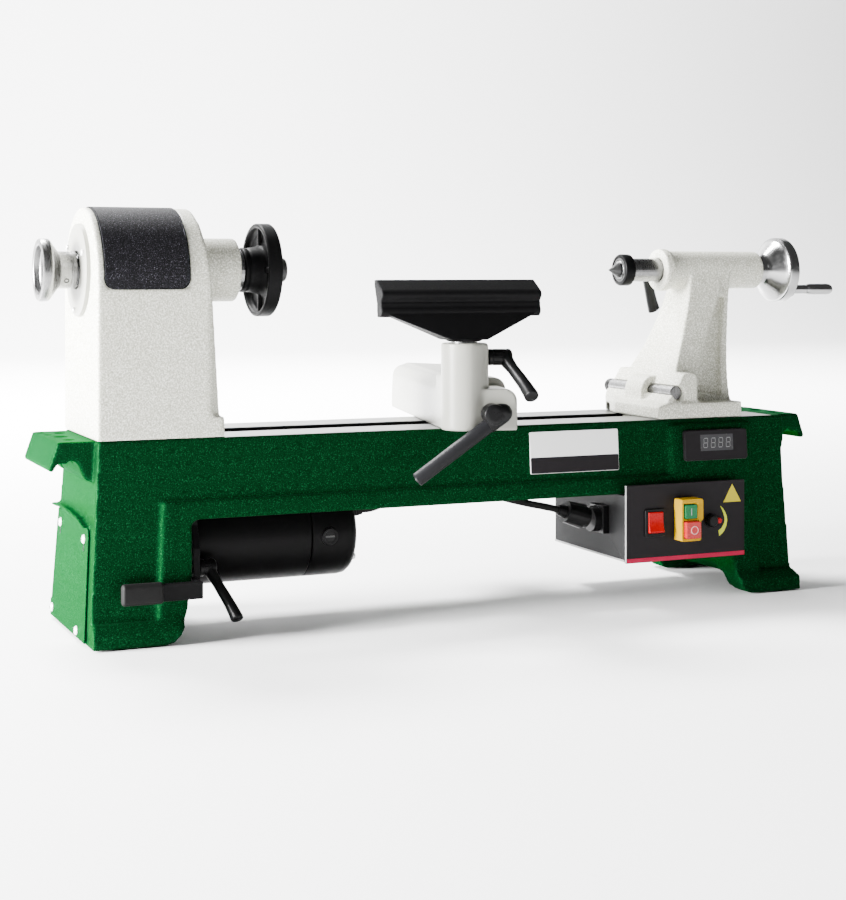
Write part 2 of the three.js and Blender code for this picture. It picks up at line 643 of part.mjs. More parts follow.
// The rest stays square to the spindle line whatever way its base is turned.
function makeToolRest() {
  const bladeProfile = outline([
    [21, 322], [0, 311.3], [0, 309], [4, 301], [3, 291], [-16.4, 266], [-16.4, REST_BOTTOM],
    [16.4, REST_BOTTOM], [14.5, 290], [14.5, 300],
  ]);
  const front = outline([
    [-REST_HALF, 330], [-REST_HALF, 292.5], [-15.4, REST_BOTTOM], [15.4, REST_BOTTOM],
    [REST_HALF, 292.5], [REST_HALF, 330],
  ]);
  const blade = prism('x', bladeProfile, -REST_HALF, REST_HALF).intersect(prism('y', front, -30, 30));
  const boss = bar('z', REST_BOSS_R, REST_BOTTOM, 272, 0, 0, 28);
  return cut(blade.add(boss), bar('z', STEM_R + 0.3, 250, STEM_TOP + 0.5, 0, 0, 28));
}

const postAt = new THREE.Vector3(POST_U, POST_V, 0)
  .applyAxisAngle(new THREE.Vector3(0, 0, 1), BANJO_TURN)
  .add(banjoFrame.position);
const toolRest = piece('tool_rest_bar', 'castIron', makeToolRest());
toolRest.position.copy(postAt);

// ---------------------------------------------------------------- tailstock
const TAIL_BASE_Z = BED_TOP + 0.4;

// Side view: narrow under the barrel, swelling to the foot.
function tailSide(foot, top) {
  const shape = new THREE.Shape();
  const low = top + 0.49 * (foot - top);
  const high = top + 0.163 * (foot - top);
  shape.moveTo(-foot, TAIL_BASE_Z);
  shape.lineTo(foot, TAIL_BASE_Z);
  shape.lineTo(foot, 195);
  shape.bezierCurveTo(low, 215, high, 270, top, SPINDLE_Z);
  shape.lineTo(-top, SPINDLE_Z);
  shape.bezierCurveTo(-high, 270, -low, 215, -foot, 195);
  return shape;
}

function makeTailstock() {
  // Front view: the left side sweeps out over the base, the right side leans out a little.
  const front = new THREE.Shape();
  front.moveTo(214, TAIL_BASE_Z);
  front.lineTo(214, 193);
  front.lineTo(226, 197);
  front.bezierCurveTo(250, 222, 276, 280, 284, SPINDLE_Z);
  front.lineTo(333, SPINDLE_Z);
  front.lineTo(TAIL_RIGHT, 196);
  front.lineTo(TAIL_RIGHT, TAIL_BASE_Z);
  const outside = prism('y', front, -80, 80, 10);
  // The buttress on the left is as wide as the bed at its foot; the web to its right is narrower.
  const web = outline([[318, 345], [345, 345], [345, 196], [263, 196], [318, 308]]);
  const pocket = outline([[317, 304], [324, 304], [305, 200], [273, 207]]);
  let body = outside.intersect(prism('x', tailSide(TOP_HALF_WIDTH, BARREL_R), 200, 350, 10));
  body = cut(
    body,
    cut(prism('y', web, -80, 80), prism('x', tailSide(WEB_FOOT, BARREL_R), 200, 350, 10)),
    cut(prism('y', pocket, -80, 80),
      prism('x', tailSide(WEB_FOOT - POCKET_DEPTH, BARREL_R - POCKET_DEPTH), 200, 350, 10)),
  );
  const boss = prism('y', roundRect(230, 262, TAIL_BASE_Z, 226, 5), -66, 66, 4).intersect(outside);
  const hump = union(
    bar('y', EYE_R + 4.5, -17, 17, TAIL_BOLT_X, TAIL_SHAFT_Z, 24),
    box(TAIL_BOLT_X - EYE_R - 4.5, TAIL_BOLT_X, -17, 17, TAIL_BASE_Z, TAIL_SHAFT_Z),
  );
  body = union(
    body,
    bar('x', BARREL_R, BARREL_LEFT + 8, BARREL_RIGHT, 0, SPINDLE_Z, 36),
    bar('x', 22.3, BARREL_LEFT, BARREL_LEFT + 10, 0, SPINDLE_Z, 36),
    boss, // carries the lock shaft
    hump, // over the eye of the clamp bolt
    box(222, 303, -SLOT_HALF + 0.5, SLOT_HALF - 0.5, BED_TOP - DECK + 2, BED_TOP + 1.4), // tongue
  );
  const rearCorner = outline([[205, 20], [214, 20], [226, 61], [234, 70], [234, 80], [205, 80]]);
  return cut(
    body,
    prism('z', rearCorner, 170, 200),
    box(221, 304, 24, 61, 150, 189),
    box(221, 304, -61, -24, 150, 189),
    bar('y', EYE_R + 1, -10, 10, TAIL_BOLT_X, TAIL_SHAFT_Z, 24),
    box(TAIL_BOLT_X - EYE_R - 1, TAIL_BOLT_X + EYE_R + 1, -10, 10, 150, TAIL_SHAFT_Z),
    bar('y', LOCK_SHAFT_R + 0.35, -80, 80, TAIL_BOLT_X, TAIL_SHAFT_Z, 24),
    bar('x', QUILL_R + 0.2, BARREL_LEFT - 5, 366, 0, SPINDLE_Z, 36),
    bar('x', 7.5, 360, 390, 0, SPINDLE_Z, 24),
    bar('y', 4.2, QUILL_R, 30, QUILL_LOCK_X, SPINDLE_Z, 14),
  );
}

piece('tailstock', 'cream', makeTailstock());
piece('tailstock_clamp_bolt', 'steel', clampBolt(TAIL_SHAFT_Z).translate([TAIL_BOLT_X, 0, 0]));
piece('tailstock_clamp_plate', 'castIron', cut(
  prism('z', roundRect(TAIL_BOLT_X - 36, TAIL_BOLT_X + 36, -42, 42, 6), plateTop - 12, plateTop),
  bar('z', 6.6, 140, 175, TAIL_BOLT_X, 0, 20),
));
piece('tailstock_lock_lever', 'castIron', union(
  bar('y', LOCK_SHAFT_R, -60, 76, TAIL_BOLT_X, TAIL_SHAFT_Z, 24),
  rod([TAIL_BOLT_X, 71.5, TAIL_SHAFT_Z], [TAIL_BOLT_X + 16, 80, TAIL_SHAFT_Z + 2], 5.5, 5.5),
  rod([TAIL_BOLT_X + 16, 80, TAIL_SHAFT_Z + 2], [TAIL_BOLT_X + 72, 90, TAIL_SHAFT_Z + 9], 5.5),
  ball(TAIL_BOLT_X + 16, 80, TAIL_SHAFT_Z + 2, 5.5),
  ball(TAIL_BOLT_X + 72, 90, TAIL_SHAFT_Z + 9, 9),
));
piece('quill', 'steel', turned([
  [QUILL_LEFT, 9], [QUILL_LEFT, QUILL_R - 0.8], [QUILL_LEFT + 0.8, QUILL_R], [QUILL_RIGHT, QUILL_R],
  [QUILL_RIGHT, 7.5], [262, 7.5], [262, 8.2], [QUILL_LEFT, 9],
], 0, SPINDLE_Z, 36));
piece('live_centre_body', 'black', turned([
  [207, 6.2], [207, 14.5], [208.5, 16.6], [218, 16.6], [219.3, 15.4], [219.3, 8.8], [252, 8],
  [252, 0], [214, 0], [214, 6.2], [207, 6.2],
], 0, SPINDLE_Z, 32));
piece('live_centre_point', 'steel', turned([
  [195, 0], [205.5, 7.2], [206.6, 7.2], [206.6, 5.9], [213.6, 5.9], [213.6, 0],
], 0, SPINDLE_Z, 24));

piece('tailstock_handwheel', 'chrome', union(
  turned([
    [288, 0], [288, 7.1], [377, 7.1], [377, 15], [384, 15.5], [400, 32.5], [400.8, 35], [411.5, 35],
    [412.6, 33.8], [412.6, 30], [405, 26], [405, 12], [412, 10], [412, 0],
  ], 0, SPINDLE_Z, 44),
  bar('x', 8, 402, 413.4, CRANK_Y, CRANK_Z, 20),
  bar('x', 3, 410, 461, CRANK_Y, CRANK_Z, 16),
));
piece('crank_grip', 'chrome', turned([
  [414, 3.3], [414, 4.6], [430, 4.8], [434, 5.8], [460, 6], [464, 5], [466, 2.5], [466, 0],
  [461.6, 0], [461.6, 3.3], [414, 3.3],
], CRANK_Y, CRANK_Z, 20));

const quillLock = piece('quill_lock_lever', 'black', clampLever(9, 20, 45));
quillLock.position.set(QUILL_LOCK_X, BARREL_R + 2.8, SPINDLE_Z);
quillLock.rotation.set(0, THREE.MathUtils.degToRad(-27), Math.PI / 2, 'YZX');

// ---------------------------------------------------------------- controls
function makeControlBox() {
  const rim = box(BOX_LEFT, BOX_RIGHT, PANEL_Y + 2, -86, PANEL_BOTTOM, PANEL_TOP);
  const tub = box(BOX_LEFT, BOX_TUB_RIGHT, -87, 60, 42, BED_UNDER - 0.6);
  return cut(
    union(rim, tub),
    box(BOX_LEFT + 2, BOX_TUB_RIGHT - 2, -95, 58, 44, BED_UNDER - 2.6),
    bar('x', 7, BOX_LEFT - 5, BOX_LEFT + 5, -42, 80, 16),
  );
}

const SWITCH_X = [219, 244.5];
const SWITCH_Z = [61, 103];
const ROCKER_X = [187.5, 205];
const ROCKER_Z = [69, 91];

piece('control_box', 'grey', makeControlBox());
piece('control_panel', 'panel', cut(
  box(BOX_LEFT, BOX_RIGHT, PANEL_Y, PANEL_Y + 1.7, PANEL_BOTTOM, PANEL_TOP),
  box(ROCKER_X[0] - 1, ROCKER_X[1] + 1, -95, -80, ROCKER_Z[0] - 1, ROCKER_Z[1] + 1),
  box(SWITCH_X[0] + 2, SWITCH_X[1] - 2, -95, -80, SWITCH_Z[0] + 2, SWITCH_Z[1] - 2),
  bar('y', 3.6, -95, -80, KNOB_X, KNOB_Z, 16),
));
piece('rocker_bezel', 'black', cut(
  prism('y', roundRect(ROCKER_X[0] - 2.6, ROCKER_X[1] + 2.6, ROCKER_Z[0] - 2.8, ROCKER_Z[1] + 2.8, 2),
    PANEL_Y - 2.2, PANEL_Y - GAP, 3),
  box(ROCKER_X[0] - 0.5, ROCKER_X[1] + 0.5, -95, -80, ROCKER_Z[0] - 0.5, ROCKER_Z[1] + 0.5),
));
const rockerMiddle = (ROCKER_Z[0] + ROCKER_Z[1]) / 2;
piece('power_rocker', 'red', prism('x', outline([
  [-84, rockerMiddle - 7], [-91, ROCKER_Z[0] + 0.6], [-96, ROCKER_Z[0] + 1.4],
  [-93.4, rockerMiddle], [-92.4, ROCKER_Z[1] - 0.6], [-91, ROCKER_Z[1] - 0.4],
  [-84, rockerMiddle + 7],
]), ...ROCKER_X));

const START_Z = [82.5, 98.5];
const STOP_Z = [64.5, 81];
const BUTTON_X = [222.5, 239];
function makeSwitchHousing() {
  const face = PANEL_Y - 15;
  return cut(
    union(
      box(...SWITCH_X, face, PANEL_Y - GAP, ...SWITCH_Z),
      box(SWITCH_X[0], SWITCH_X[1] + 2.5, face, PANEL_Y - GAP, 81, SWITCH_Z[1]),
      box(SWITCH_X[0] + 2.4, SWITCH_X[1] - 2.4, PANEL_Y - 3, -70, SWITCH_Z[0] + 2.4, SWITCH_Z[1] - 2.4),
    ),
    box(BUTTON_X[0] - 0.6, BUTTON_X[1] + 0.6, -120, -95, START_Z[0] - 0.6, START_Z[1] + 0.6),
    box(BUTTON_X[0] - 0.6, BUTTON_X[1] + 0.6, -120, -95, STOP_Z[0] - 0.6, STOP_Z[1] + 0.6),
  );
}

piece('switch_housing', 'yellow', makeSwitchHousing());
piece('start_button', 'buttonGreen', box(...BUTTON_X, -105.6, -98.5, ...START_Z));
piece('stop_button', 'red', box(...BUTTON_X, -109, -98.5, ...STOP_Z));
piece('speed_knob', 'black', union(
  bar('y', 3.2, -94, -78, KNOB_X, KNOB_Z, 14),
  bar('y', 6.6, -98.6, PANEL_Y - 0.6, KNOB_X, KNOB_Z, 20),
  bar('y', 3, -97.4, PANEL_Y - 0.6, KNOB_X + 7.8, KNOB_Z, 16),
));

function makeController() {
  let sink = box(182, 270, -30, 44, 45, 50);
  for (let x = 184; x < 270; x += 12) sink = sink.add(box(x, x + 3, -30, 44, 49, 86));
  return sink;
}

piece('speed_controller', 'board', makeController());

// Plates that lie on the leaning front face of the bed.
function frontPlate(name, paint, x0, x1, z0, z1, thickness, proud) {
  const mesh = piece(name, paint, prism('y', roundRect(x0, x1, z0, z1, 1.5), -thickness, 0, 2));
  mesh.rotation.x = -Math.atan(FRONT_SLOPE);
  const lift = TOP_HALF_WIDTH + proud + GAP + FRONT_SLOPE * BED_TOP;
  mesh.position.set(0, -lift, 0);
  return mesh;
}

frontPlate('name_plate', 'white', 66, 165, 132.5, 173.5, 1.2, 0);
frontPlate('display', 'black', 238.5, 313, 138, 169, 5, RIM_PROUD);

// Motor lead: from the gland on the motor up into the beam and down to the plug on the box.
const LEAD_R = 3.5;
const LEAD_ROUTE = [
  [-90, GLAND_Y, GLAND_Z], [-80, -21, 101], [-62, -27, 108], [-38, -38, 116], [-16, -44, 119.8],
  [-5, -44, 120], [6, -44, 119.8], [26, -45, 115.5], [50, -46, 107], [76, -45, 100],
  [98, -43, 95], [112, -42, 91.4],
];
{
  const curve = new THREE.CatmullRomCurve3(LEAD_ROUTE.map((p) => new THREE.Vector3(...p)));
  const section = new THREE.Shape();
  section.absarc(0, 0, LEAD_R, 0, 2 * Math.PI);
  const tube = new THREE.ExtrudeGeometry(
    section, { extrudePath: curve, steps: 24, bevelEnabled: false, curveSegments: 8 });
  piece('motor_lead', 'rubber', solid(tube));
}
piece('lead_clip', 'black', cut(
  box(-9, -1, -61, -38.5, 114.6, 125.4),
  bar('x', LEAD_R + 0.9, -15, 5, -44, 120, 16),
));
piece('lead_plug', 'black', union(
  rod([112.4, -42, 91.3], [122, -42, 88.4], 5, 7),
  rod([121, -42, 88.8], [140, -42, 83], 11, 12.5, 20),
  rod([139, -42, 83.3], [145.5, -42, 81.3], 10.5, 10.5, 20),
));
piece('lead_socket', 'black', union(
  rod([149, -42, 80], [158, -42, 80], 13, 13, 24),
  bar('x', 6.4, 150, BOX_LEFT + 4, -42, 80, 16),
  box(157, BOX_LEFT - GAP, -56, -28, 66, 94),
));

export default lathe;
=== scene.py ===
from math import atan2, cos, pi, radians, sin

import bmesh
import bpy
from mathutils import Matrix, Vector


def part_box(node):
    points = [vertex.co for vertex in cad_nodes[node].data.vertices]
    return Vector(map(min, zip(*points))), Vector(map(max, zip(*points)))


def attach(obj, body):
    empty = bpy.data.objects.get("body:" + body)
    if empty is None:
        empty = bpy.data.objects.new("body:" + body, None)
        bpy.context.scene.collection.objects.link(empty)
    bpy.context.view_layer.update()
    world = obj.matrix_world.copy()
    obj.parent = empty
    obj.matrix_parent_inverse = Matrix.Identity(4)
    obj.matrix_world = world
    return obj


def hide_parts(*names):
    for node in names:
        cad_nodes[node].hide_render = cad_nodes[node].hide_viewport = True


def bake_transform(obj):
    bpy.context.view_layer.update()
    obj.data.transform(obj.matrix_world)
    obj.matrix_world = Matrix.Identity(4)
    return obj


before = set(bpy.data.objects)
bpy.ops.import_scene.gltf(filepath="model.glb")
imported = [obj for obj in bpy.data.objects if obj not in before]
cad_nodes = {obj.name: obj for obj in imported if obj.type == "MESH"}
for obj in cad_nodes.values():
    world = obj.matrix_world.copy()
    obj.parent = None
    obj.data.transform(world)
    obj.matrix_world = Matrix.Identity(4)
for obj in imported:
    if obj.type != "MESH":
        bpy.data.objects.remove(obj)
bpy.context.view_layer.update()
bed_low, bed_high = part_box("bed")
# The lathe's own frame, in mm: X = 0 midway between the feet, Y = 0 the spindle's plane, Z = 0 the bench.
ORIGIN = Vector(((bed_low.x + bed_high.x) / 2, (bed_low.y + bed_high.y) / 2, 0))
SPINDLE_Z = 332
MOTOR_Z = 79.5
# The bed's front leans out downwards from its top edge, by LEAN for each mm; bands on it are raised.
BED_TOP = 180
BED_FRONT = 69
LEAN = 12 / 158
BAND_RISE = 4
# The round top of the headstock, drawn about a line along X.
ARCH_R = 69
ARCH_Z = 320.4
scene = bpy.context.scene


def at(x, y, z):
    """A point of the lathe's frame, in the scene."""
    return ORIGIN + Vector((x, y, z)) / 1000


def node_point(p):
    """A point of a CAD mesh, in the lathe's frame in mm."""
    return (p - ORIGIN) * 1000


def in_scene(name, data):
    """A new object, in the scene."""
    obj = bpy.data.objects.new(name, data)
    scene.collection.objects.link(obj)
    return obj


def shift(x, y, z):
    return Matrix.Translation((x, y, z))


def rotation(degrees, axis):
    return Matrix.Rotation(radians(degrees), 4, axis)


# ---------------------------------------------------------------- camera
camera = in_scene("camera", bpy.data.cameras.new("camera"))
camera.location = at(-705.6, -1576.7, 332)
camera.rotation_euler = (radians(90), 0, radians(-23.6))
camera.data.sensor_width = 36
camera.data.lens = 69
camera.data.shift_y = -0.2
camera.data.clip_end = 50
scene.camera = camera


# ---------------------------------------------------------------- materials
def material(name, color, rough=0.4, metal=0.0, shine=0.5):
    mat = bpy.data.materials.new(name)
    mat.use_nodes = True
    shader = mat.node_tree.nodes["Principled BSDF"]
    shader.inputs["Base Color"].default_value = (*color, 1)
    shader.inputs["Roughness"].default_value = rough
    shader.inputs["Metallic"].default_value = metal
    shader.inputs["Specular IOR Level"].default_value = shine
    return mat


def node(mat, kind, **inputs):
    made = mat.node_tree.nodes.new(kind)
    for key, value in inputs.items():
        made.inputs[key.replace("_", " ")].default_value = value
    return made


def wire(mat, source, output, target, socket):
    mat.node_tree.links.new(source.outputs[output], target.inputs[socket])


def coordinates(mat, stretch=(1, 1, 1)):
    """The piece's own coordinates, in metres, stretched."""
    coord = node(mat, "ShaderNodeTexCoord")
    mapping = node(mat, "ShaderNodeMapping", Scale=stretch)
    wire(mat, coord, "Object", mapping, "Vector")
    return mapping


def ramp(mat, stops):
    made = mat.node_tree.nodes.new("ShaderNodeValToRGB")
    made.color_ramp.elements[0].position = stops[0][0]
    made.color_ramp.elements[0].color = (*stops[0][1], 1)
    made.color_ramp.elements[1].position = stops[-1][0]
    made.color_ramp.elements[1].color = (*stops[-1][1], 1)
    for position, color in stops[1:-1]:
        made.color_ramp.elements.new(position).color = (*color, 1)
    return made


def hammertone(name, stops, rough, bump, cells=420, shine=0.5, metal=0.0, tint=(1, 1, 1)):
    """Hammered enamel: round dimples that flow into each other, with flecks in the dips."""
    mat = material(name, stops[-1][1], rough, metal, shine=shine)
    shader = mat.node_tree.nodes["Principled BSDF"]
    shader.inputs["Specular Tint"].default_value = (*tint, 1)
    mapping = coordinates(mat)
    dimples = node(mat, "ShaderNodeTexVoronoi", Scale=cells)
    dimples.feature = "SMOOTH_F1"
    dimples.inputs["Smoothness"].default_value = 0.6
    drift = node(mat, "ShaderNodeTexNoise", Scale=cells * 1.7, Detail=3, Roughness=0.6)
    wire(mat, mapping, "Vector", dimples, "Vector")
    wire(mat, mapping, "Vector", drift, "Vector")
    height = node(mat, "ShaderNodeMath")
    height.operation = "ADD"
    wire(mat, dimples, "Distance", height, 0)
    wire(mat, drift, "Fac", height, 1)
    bumped = node(mat, "ShaderNodeBump", Strength=bump, Distance=0.0006)
    wire(mat, height, "Value", bumped, "Height")
    wire(mat, bumped, "Normal", shader, "Normal")
    colors = ramp(mat, stops)
    wire(mat, drift, "Fac", colors, "Fac")
    wire(mat, colors, "Color", shader, "Base Color")
    return mat


def grained(name, color, rough, metal=0.0, scale=900, bump=0.15, spread=0.12, stretch=(1, 1, 1),
            shine=0.5):
    """Moulded, cast or turned surface: fine grain in its height and its gloss."""
    mat = material(name, color, rough, metal, shine)
    shader = mat.node_tree.nodes["Principled BSDF"]
    mapping = coordinates(mat, stretch)
    grain = node(mat, "ShaderNodeTexNoise", Scale=scale, Detail=4, Roughness=0.6)
    wire(mat, mapping, "Vector", grain, "Vector")
    bumped = node(mat, "ShaderNodeBump", Strength=bump, Distance=0.0004)
    wire(mat, grain, "Fac", bumped, "Height")
    wire(mat, bumped, "Normal", shader, "Normal")
    gloss = node(mat, "ShaderNodeMapRange", From_Min=0.3, From_Max=0.7,
                 To_Min=max(rough - spread, 0.03), To_Max=min(rough + spread, 1))
    wire(mat, grain, "Fac", gloss, "Value")
    wire(mat, gloss, "Result", shader, "Roughness")
    return mat


GREEN = hammertone("green_hammertone", [
    (0.3, (0.0007, 0.0105, 0.0028)), (0.5, (0.0012, 0.0195, 0.0052)), (0.6, (0.0026, 0.035, 0.0105)),
    (0.72, (0.012, 0.11, 0.037)),
], 0.42, 0.3, 620, 0.0, 0.3, (0.14, 0.85, 0.4))
CREAM = hammertone("cream_hammertone", [
    (0.36, (0.38, 0.38, 0.31)), (0.5, (0.52, 0.52, 0.44)), (0.62, (0.82, 0.82, 0.75)),
], 0.45, 0.3, 420, 0.2)
CREAM_SMOOTH = grained("cream_enamel", (0.27, 0.27, 0.24), 0.34, 0, 300, 0.1, 0.06, shine=0.35)
COVER_TEXTURE = hammertone("cover_texture", [
    (0.3, (0.004, 0.004, 0.0045)), (0.54, (0.008, 0.008, 0.009)), (0.66, (0.05, 0.048, 0.06)),
    (0.78, (0.3, 0.29, 0.34)),
], 0.55, 0.4, 700, 0.04)
BLACK_IRON = grained("black_iron", (0.0045, 0.0045, 0.0048), 0.5, 0, 700, 0.25, shine=0.05)
BLACK_GLOSS = grained("black_enamel", (0.0025, 0.0025, 0.0027), 0.4, 0, 250, 0.08, 0.05, shine=0.06)
BLACK_PLASTIC = grained("black_plastic", (0.003, 0.003, 0.0032), 0.36, 0, 1400, 0.12, shine=0.12)
DARK_SLEEVE = grained("dark_sleeve", (0.008, 0.008, 0.009), 0.5, 0, 1100, 0.3, shine=0.1)
STEEL = grained("turned_steel", (0.2, 0.2, 0.2), 0.3, 1, 160, 0.12, 0.1, stretch=(14, 1, 1))
GROUND = grained("ground_ways", (0.2, 0.2, 0.197), 0.36, 1, 120, 0.15, 0.12, stretch=(1, 16, 1))
CHROME = grained("chrome", (0.34, 0.34, 0.34), 0.2, 1, 90, 0.02, 0.06)
DARK_STEEL = grained("dark_steel", (0.05, 0.05, 0.05), 0.4, 0.7, 400, 0.2, shine=0.2)
# Near-black paint for painted shade, laid in the bed's slot and in gaps, wells, keyholes and recesses that
# are only in shade.
SHADOW_STEEL = grained("painted_shade", (0.004, 0.0045, 0.004), 0.6, 0, 400, 0.2, shine=0.05)
RUBBER = grained("rubber", (0.005, 0.005, 0.005), 0.65, 0, 1300, 0.3, shine=0.12)
PANEL = grained("panel_paint", (0.014, 0.0128, 0.014), 0.42, 0, 900, 0.08, shine=0.05)
BOX_GREY = grained("box_paint", (0.014, 0.014, 0.0145), 0.45, 0, 900, 0.12, shine=0.03)
YELLOW = grained("yellow_plastic", (0.46, 0.26, 0.0), 0.35, 0, 900, 0.05, shine=0.1)
PALE_YELLOW = grained("pale_yellow_print", (0.5, 0.42, 0.02), 0.4, 0, 700, 0.03, shine=0.1)
RED = grained("red_plastic", (0.36, 0.0, 0.002), 0.3, 0, 700, 0.04, shine=0.15)
RED_LABEL = grained("red_label", (0.4, 0.006, 0.045), 0.4, 0, 700, 0.03, shine=0.1)
STOP_RED = grained("stop_plastic", (0.42, 0.012, 0.014), 0.25, 0, 700, 0.04, shine=0.3)
PINK = grained("stop_print", (0.6, 0.3, 0.28), 0.4, 0, 700, 0.03)
BUTTON_GREEN = grained("green_plastic", (0.002, 0.13, 0.04), 0.3, 0, 700, 0.04, shine=0.2)
LIME = grained("lime_label", (0.55, 0.6, 0.015), 0.4, 0, 700, 0.03, shine=0.25)
WHITE = grained("white_print", (0.97, 0.97, 0.96), 0.4, 0, 700, 0.03)
PALE = grained("pale_edge", (0.26, 0.26, 0.26), 0.4, 0, 700, 0.05)
SCREW_WHITE = grained("zinc_screw", (0.8, 0.8, 0.79), 0.3, 0.3, 700, 0.05)
GLASS = grained("display_glass", (0.05, 0.05, 0.053), 0.2, 0, 300, 0.02, shine=0.2)
DIGIT = grained("display_digit", (0.17, 0.17, 0.17), 0.35, 0, 300, 0.02)
HEAT_SINK = grained("heat_sink", (0.5, 0.5, 0.5), 0.4, 0.9, 500, 0.1)


# ---------------------------------------------------------------- shapes, in mm
BOX_FACES = [(0, 1, 3, 2), (4, 6, 7, 5), (0, 4, 5, 1), (2, 3, 7, 6), (0, 2, 6, 4), (1, 5, 7, 3)]


def boxed(x0, x1, y0, y1, z0, z1):
    return [(x, y, z) for x in (x0, x1) for y in (y0, y1) for z in (z0, z1)], BOX_FACES


def arc(cx, cy, r, start, end, steps=6):
    """Points on an arc, in degrees."""
    angles = [radians(start + (end - start) * i / steps) for i in range(steps + 1)]
    return [(cx + r * cos(a), cy + r * sin(a)) for a in angles]


def round_rect(x0, x1, y0, y1, r, steps=5):
    return (arc(x1 - r, y0 + r, r, -90, 0, steps) + arc(x1 - r, y1 - r, r, 0, 90, steps)
            + arc(x0 + r, y1 - r, r, 90, 180, steps) + arc(x0 + r, y0 + r, r, 180, 270, steps))


def prism(axis, outline, a, b):
    """An outline carried along X (drawn in Y, Z), Y (in X, Z) or Z (in X, Y)."""
    place = {"x": lambda p, t: (t, p[0], p[1]), "y": lambda p, t: (p[0], t, p[1]),
             "z": lambda p, t: (p[0], p[1], t)}[axis]
    n = len(outline)
    verts = [place(p, t) for t in (a, b) for p in outline]
    faces = [tuple(range(n)), tuple(range(2 * n - 1, n - 1, -1))]
    faces += [(i, i + n, (i + 1) % n + n, (i + 1) % n) for i in range(n)]
    return verts, faces


def turned(profile, centre=(0, 0, 0), axis="x", steps=64):
    """A turned piece: profile points are (along, radius); a radius of 0 closes it on the axis."""
    turn = {"x": lambda t, c, s: (t, c, s), "y": lambda t, c, s: (s, t, c),
            "z": lambda t, c, s: (c, s, t)}[axis]
    verts, rings = [], []
    for t, r in profile:
        count = 1 if r == 0 else steps
        ring = []
        for i in range(count):
            a = 2 * pi * i / steps
            p = turn(t, r * cos(a), r * sin(a))
            ring.append(len(verts))
            verts.append(tuple(p[k] + centre[k] for k in range(3)))
        rings.append(ring)
    faces = []
    for one, two in zip(rings, rings[1:]):
        for i in range(steps):
            j = (i + 1) % steps
            quad = [one[i % len(one)], one[j % len(one)], two[j % len(two)], two[i % len(two)]]
            quad = list(dict.fromkeys(quad))
            if len(quad) > 2:
                faces.append(tuple(quad))
    return verts, faces


def tube(points, radii, sides=20, flat=1.0, across=None):
    """A rod through points, radii wide along across and flat times that the other way."""
    points = [Vector(p) for p in points]
    radii = radii if isinstance(radii, (list, tuple)) else [radii] * len(points)
    verts, faces = [], []
    side = Vector(across) if across else (points[1] - points[0]).orthogonal()
    for i, p in enumerate(points):
        ahead = (points[min(i + 1, len(points) - 1)] - points[max(i - 1, 0)]).normalized()
        side = (side - ahead * side.dot(ahead)).normalized()
        other = ahead.cross(side)
        for k in range(sides):
            a = 2 * pi * k / sides
            verts.append(tuple(p + side * (radii[i] * cos(a)) + other * (radii[i] * flat * sin(a))))
    for i in range(len(points) - 1):
        for k in range(sides):
            j = (k + 1) % sides
            faces.append((i * sides + k, i * sides + j, (i + 1) * sides + j, (i + 1) * sides + k))
    faces.append(tuple(range(sides)))
    faces.append(tuple((len(points) - 1) * sides + k for k in reversed(range(sides))))
    return verts, faces


def between(t, stops):
    """The value at t on the straight lines through stops."""
    for (t0, v0), (t1, v1) in zip(stops, stops[1:]):
        if t <= t1:
            return v0 + (v1 - v0) * (t - t0) / (t1 - t0)
    return stops[-1][1]


def smooth_path(points, steps=8):
    """A curve through the points."""
    points = [Vector(p) for p in points]
    ends = [2 * points[0] - points[1], *points, 2 * points[-1] - points[-2]]
    path = []
    for p0, p1, p2, p3 in zip(ends, ends[1:], ends[2:], ends[3:]):
        for i in range(steps):
            t = i / steps
            path.append(0.5 * (2 * p1 + (p2 - p0) * t + (2 * p0 - 5 * p1 + 4 * p2 - p3) * t * t
                               + (3 * p1 - p0 - 3 * p2 + p3) * t ** 3))
    return [*path, points[-1]]


def ball(centre, r, steps=20):
    half = [(r * sin(radians(a)), r * cos(radians(a))) for a in range(-80, 81, 16)]
    return turned([(-r, 0), *half, (r, 0)], centre, "z", steps)


def moved(shape, matrix):
    """A shape placed by a 4x4 in mm."""
    return [tuple(matrix @ Vector(v)) for v in shape[0]], shape[1]


def from_node(name):
    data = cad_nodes[name].data
    return [tuple(node_point(v.co)) for v in data.vertices], [tuple(p.vertices) for p in data.polygons]


def joined(shapes):
    verts, faces = [], []
    for v, f in shapes:
        faces += [tuple(i + len(verts) for i in face) for face in f]
        verts += list(v)
    return verts, faces


def mesh_of(name, shape, clean=True):
    data = bpy.data.meshes.new(name)
    data.from_pydata([at(*v) for v in shape[0]], [], shape[1])
    bm = bmesh.new()
    bm.from_mesh(data)
    if clean:
        bmesh.ops.remove_doubles(bm, verts=bm.verts, dist=2e-6)
    bmesh.ops.recalc_face_normals(bm, faces=bm.faces)
    bm.to_mesh(data)
    bm.free()
    return data


def baked(obj):
    """Replaces the object's mesh by what its modifiers make of it."""
    graph = bpy.context.evaluated_depsgraph_get()
    data = bpy.data.meshes.new_from_object(obj.evaluated_get(graph))
    obj.modifiers.clear()
    obj.data = data


def piece(name, shape, mat, body="root", bevel=0, segments=3, replaces=None):
    """A crisp piece; bevel rounds its edges, in mm."""
    data = mesh_of(name, shape)
    data.shade_smooth()
    data.set_sharp_from_angle(angle=radians(35))
    obj = in_scene(name, data)
    data.materials.append(mat)
    if bevel:
        add_bevel(obj, bevel, segments)
    settle(obj, body, replaces)


def settle(obj, body, replaces):
    """What the piece rides on, and which CAD node it stands for."""
    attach(obj, body)
    if replaces:
        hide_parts(replaces)


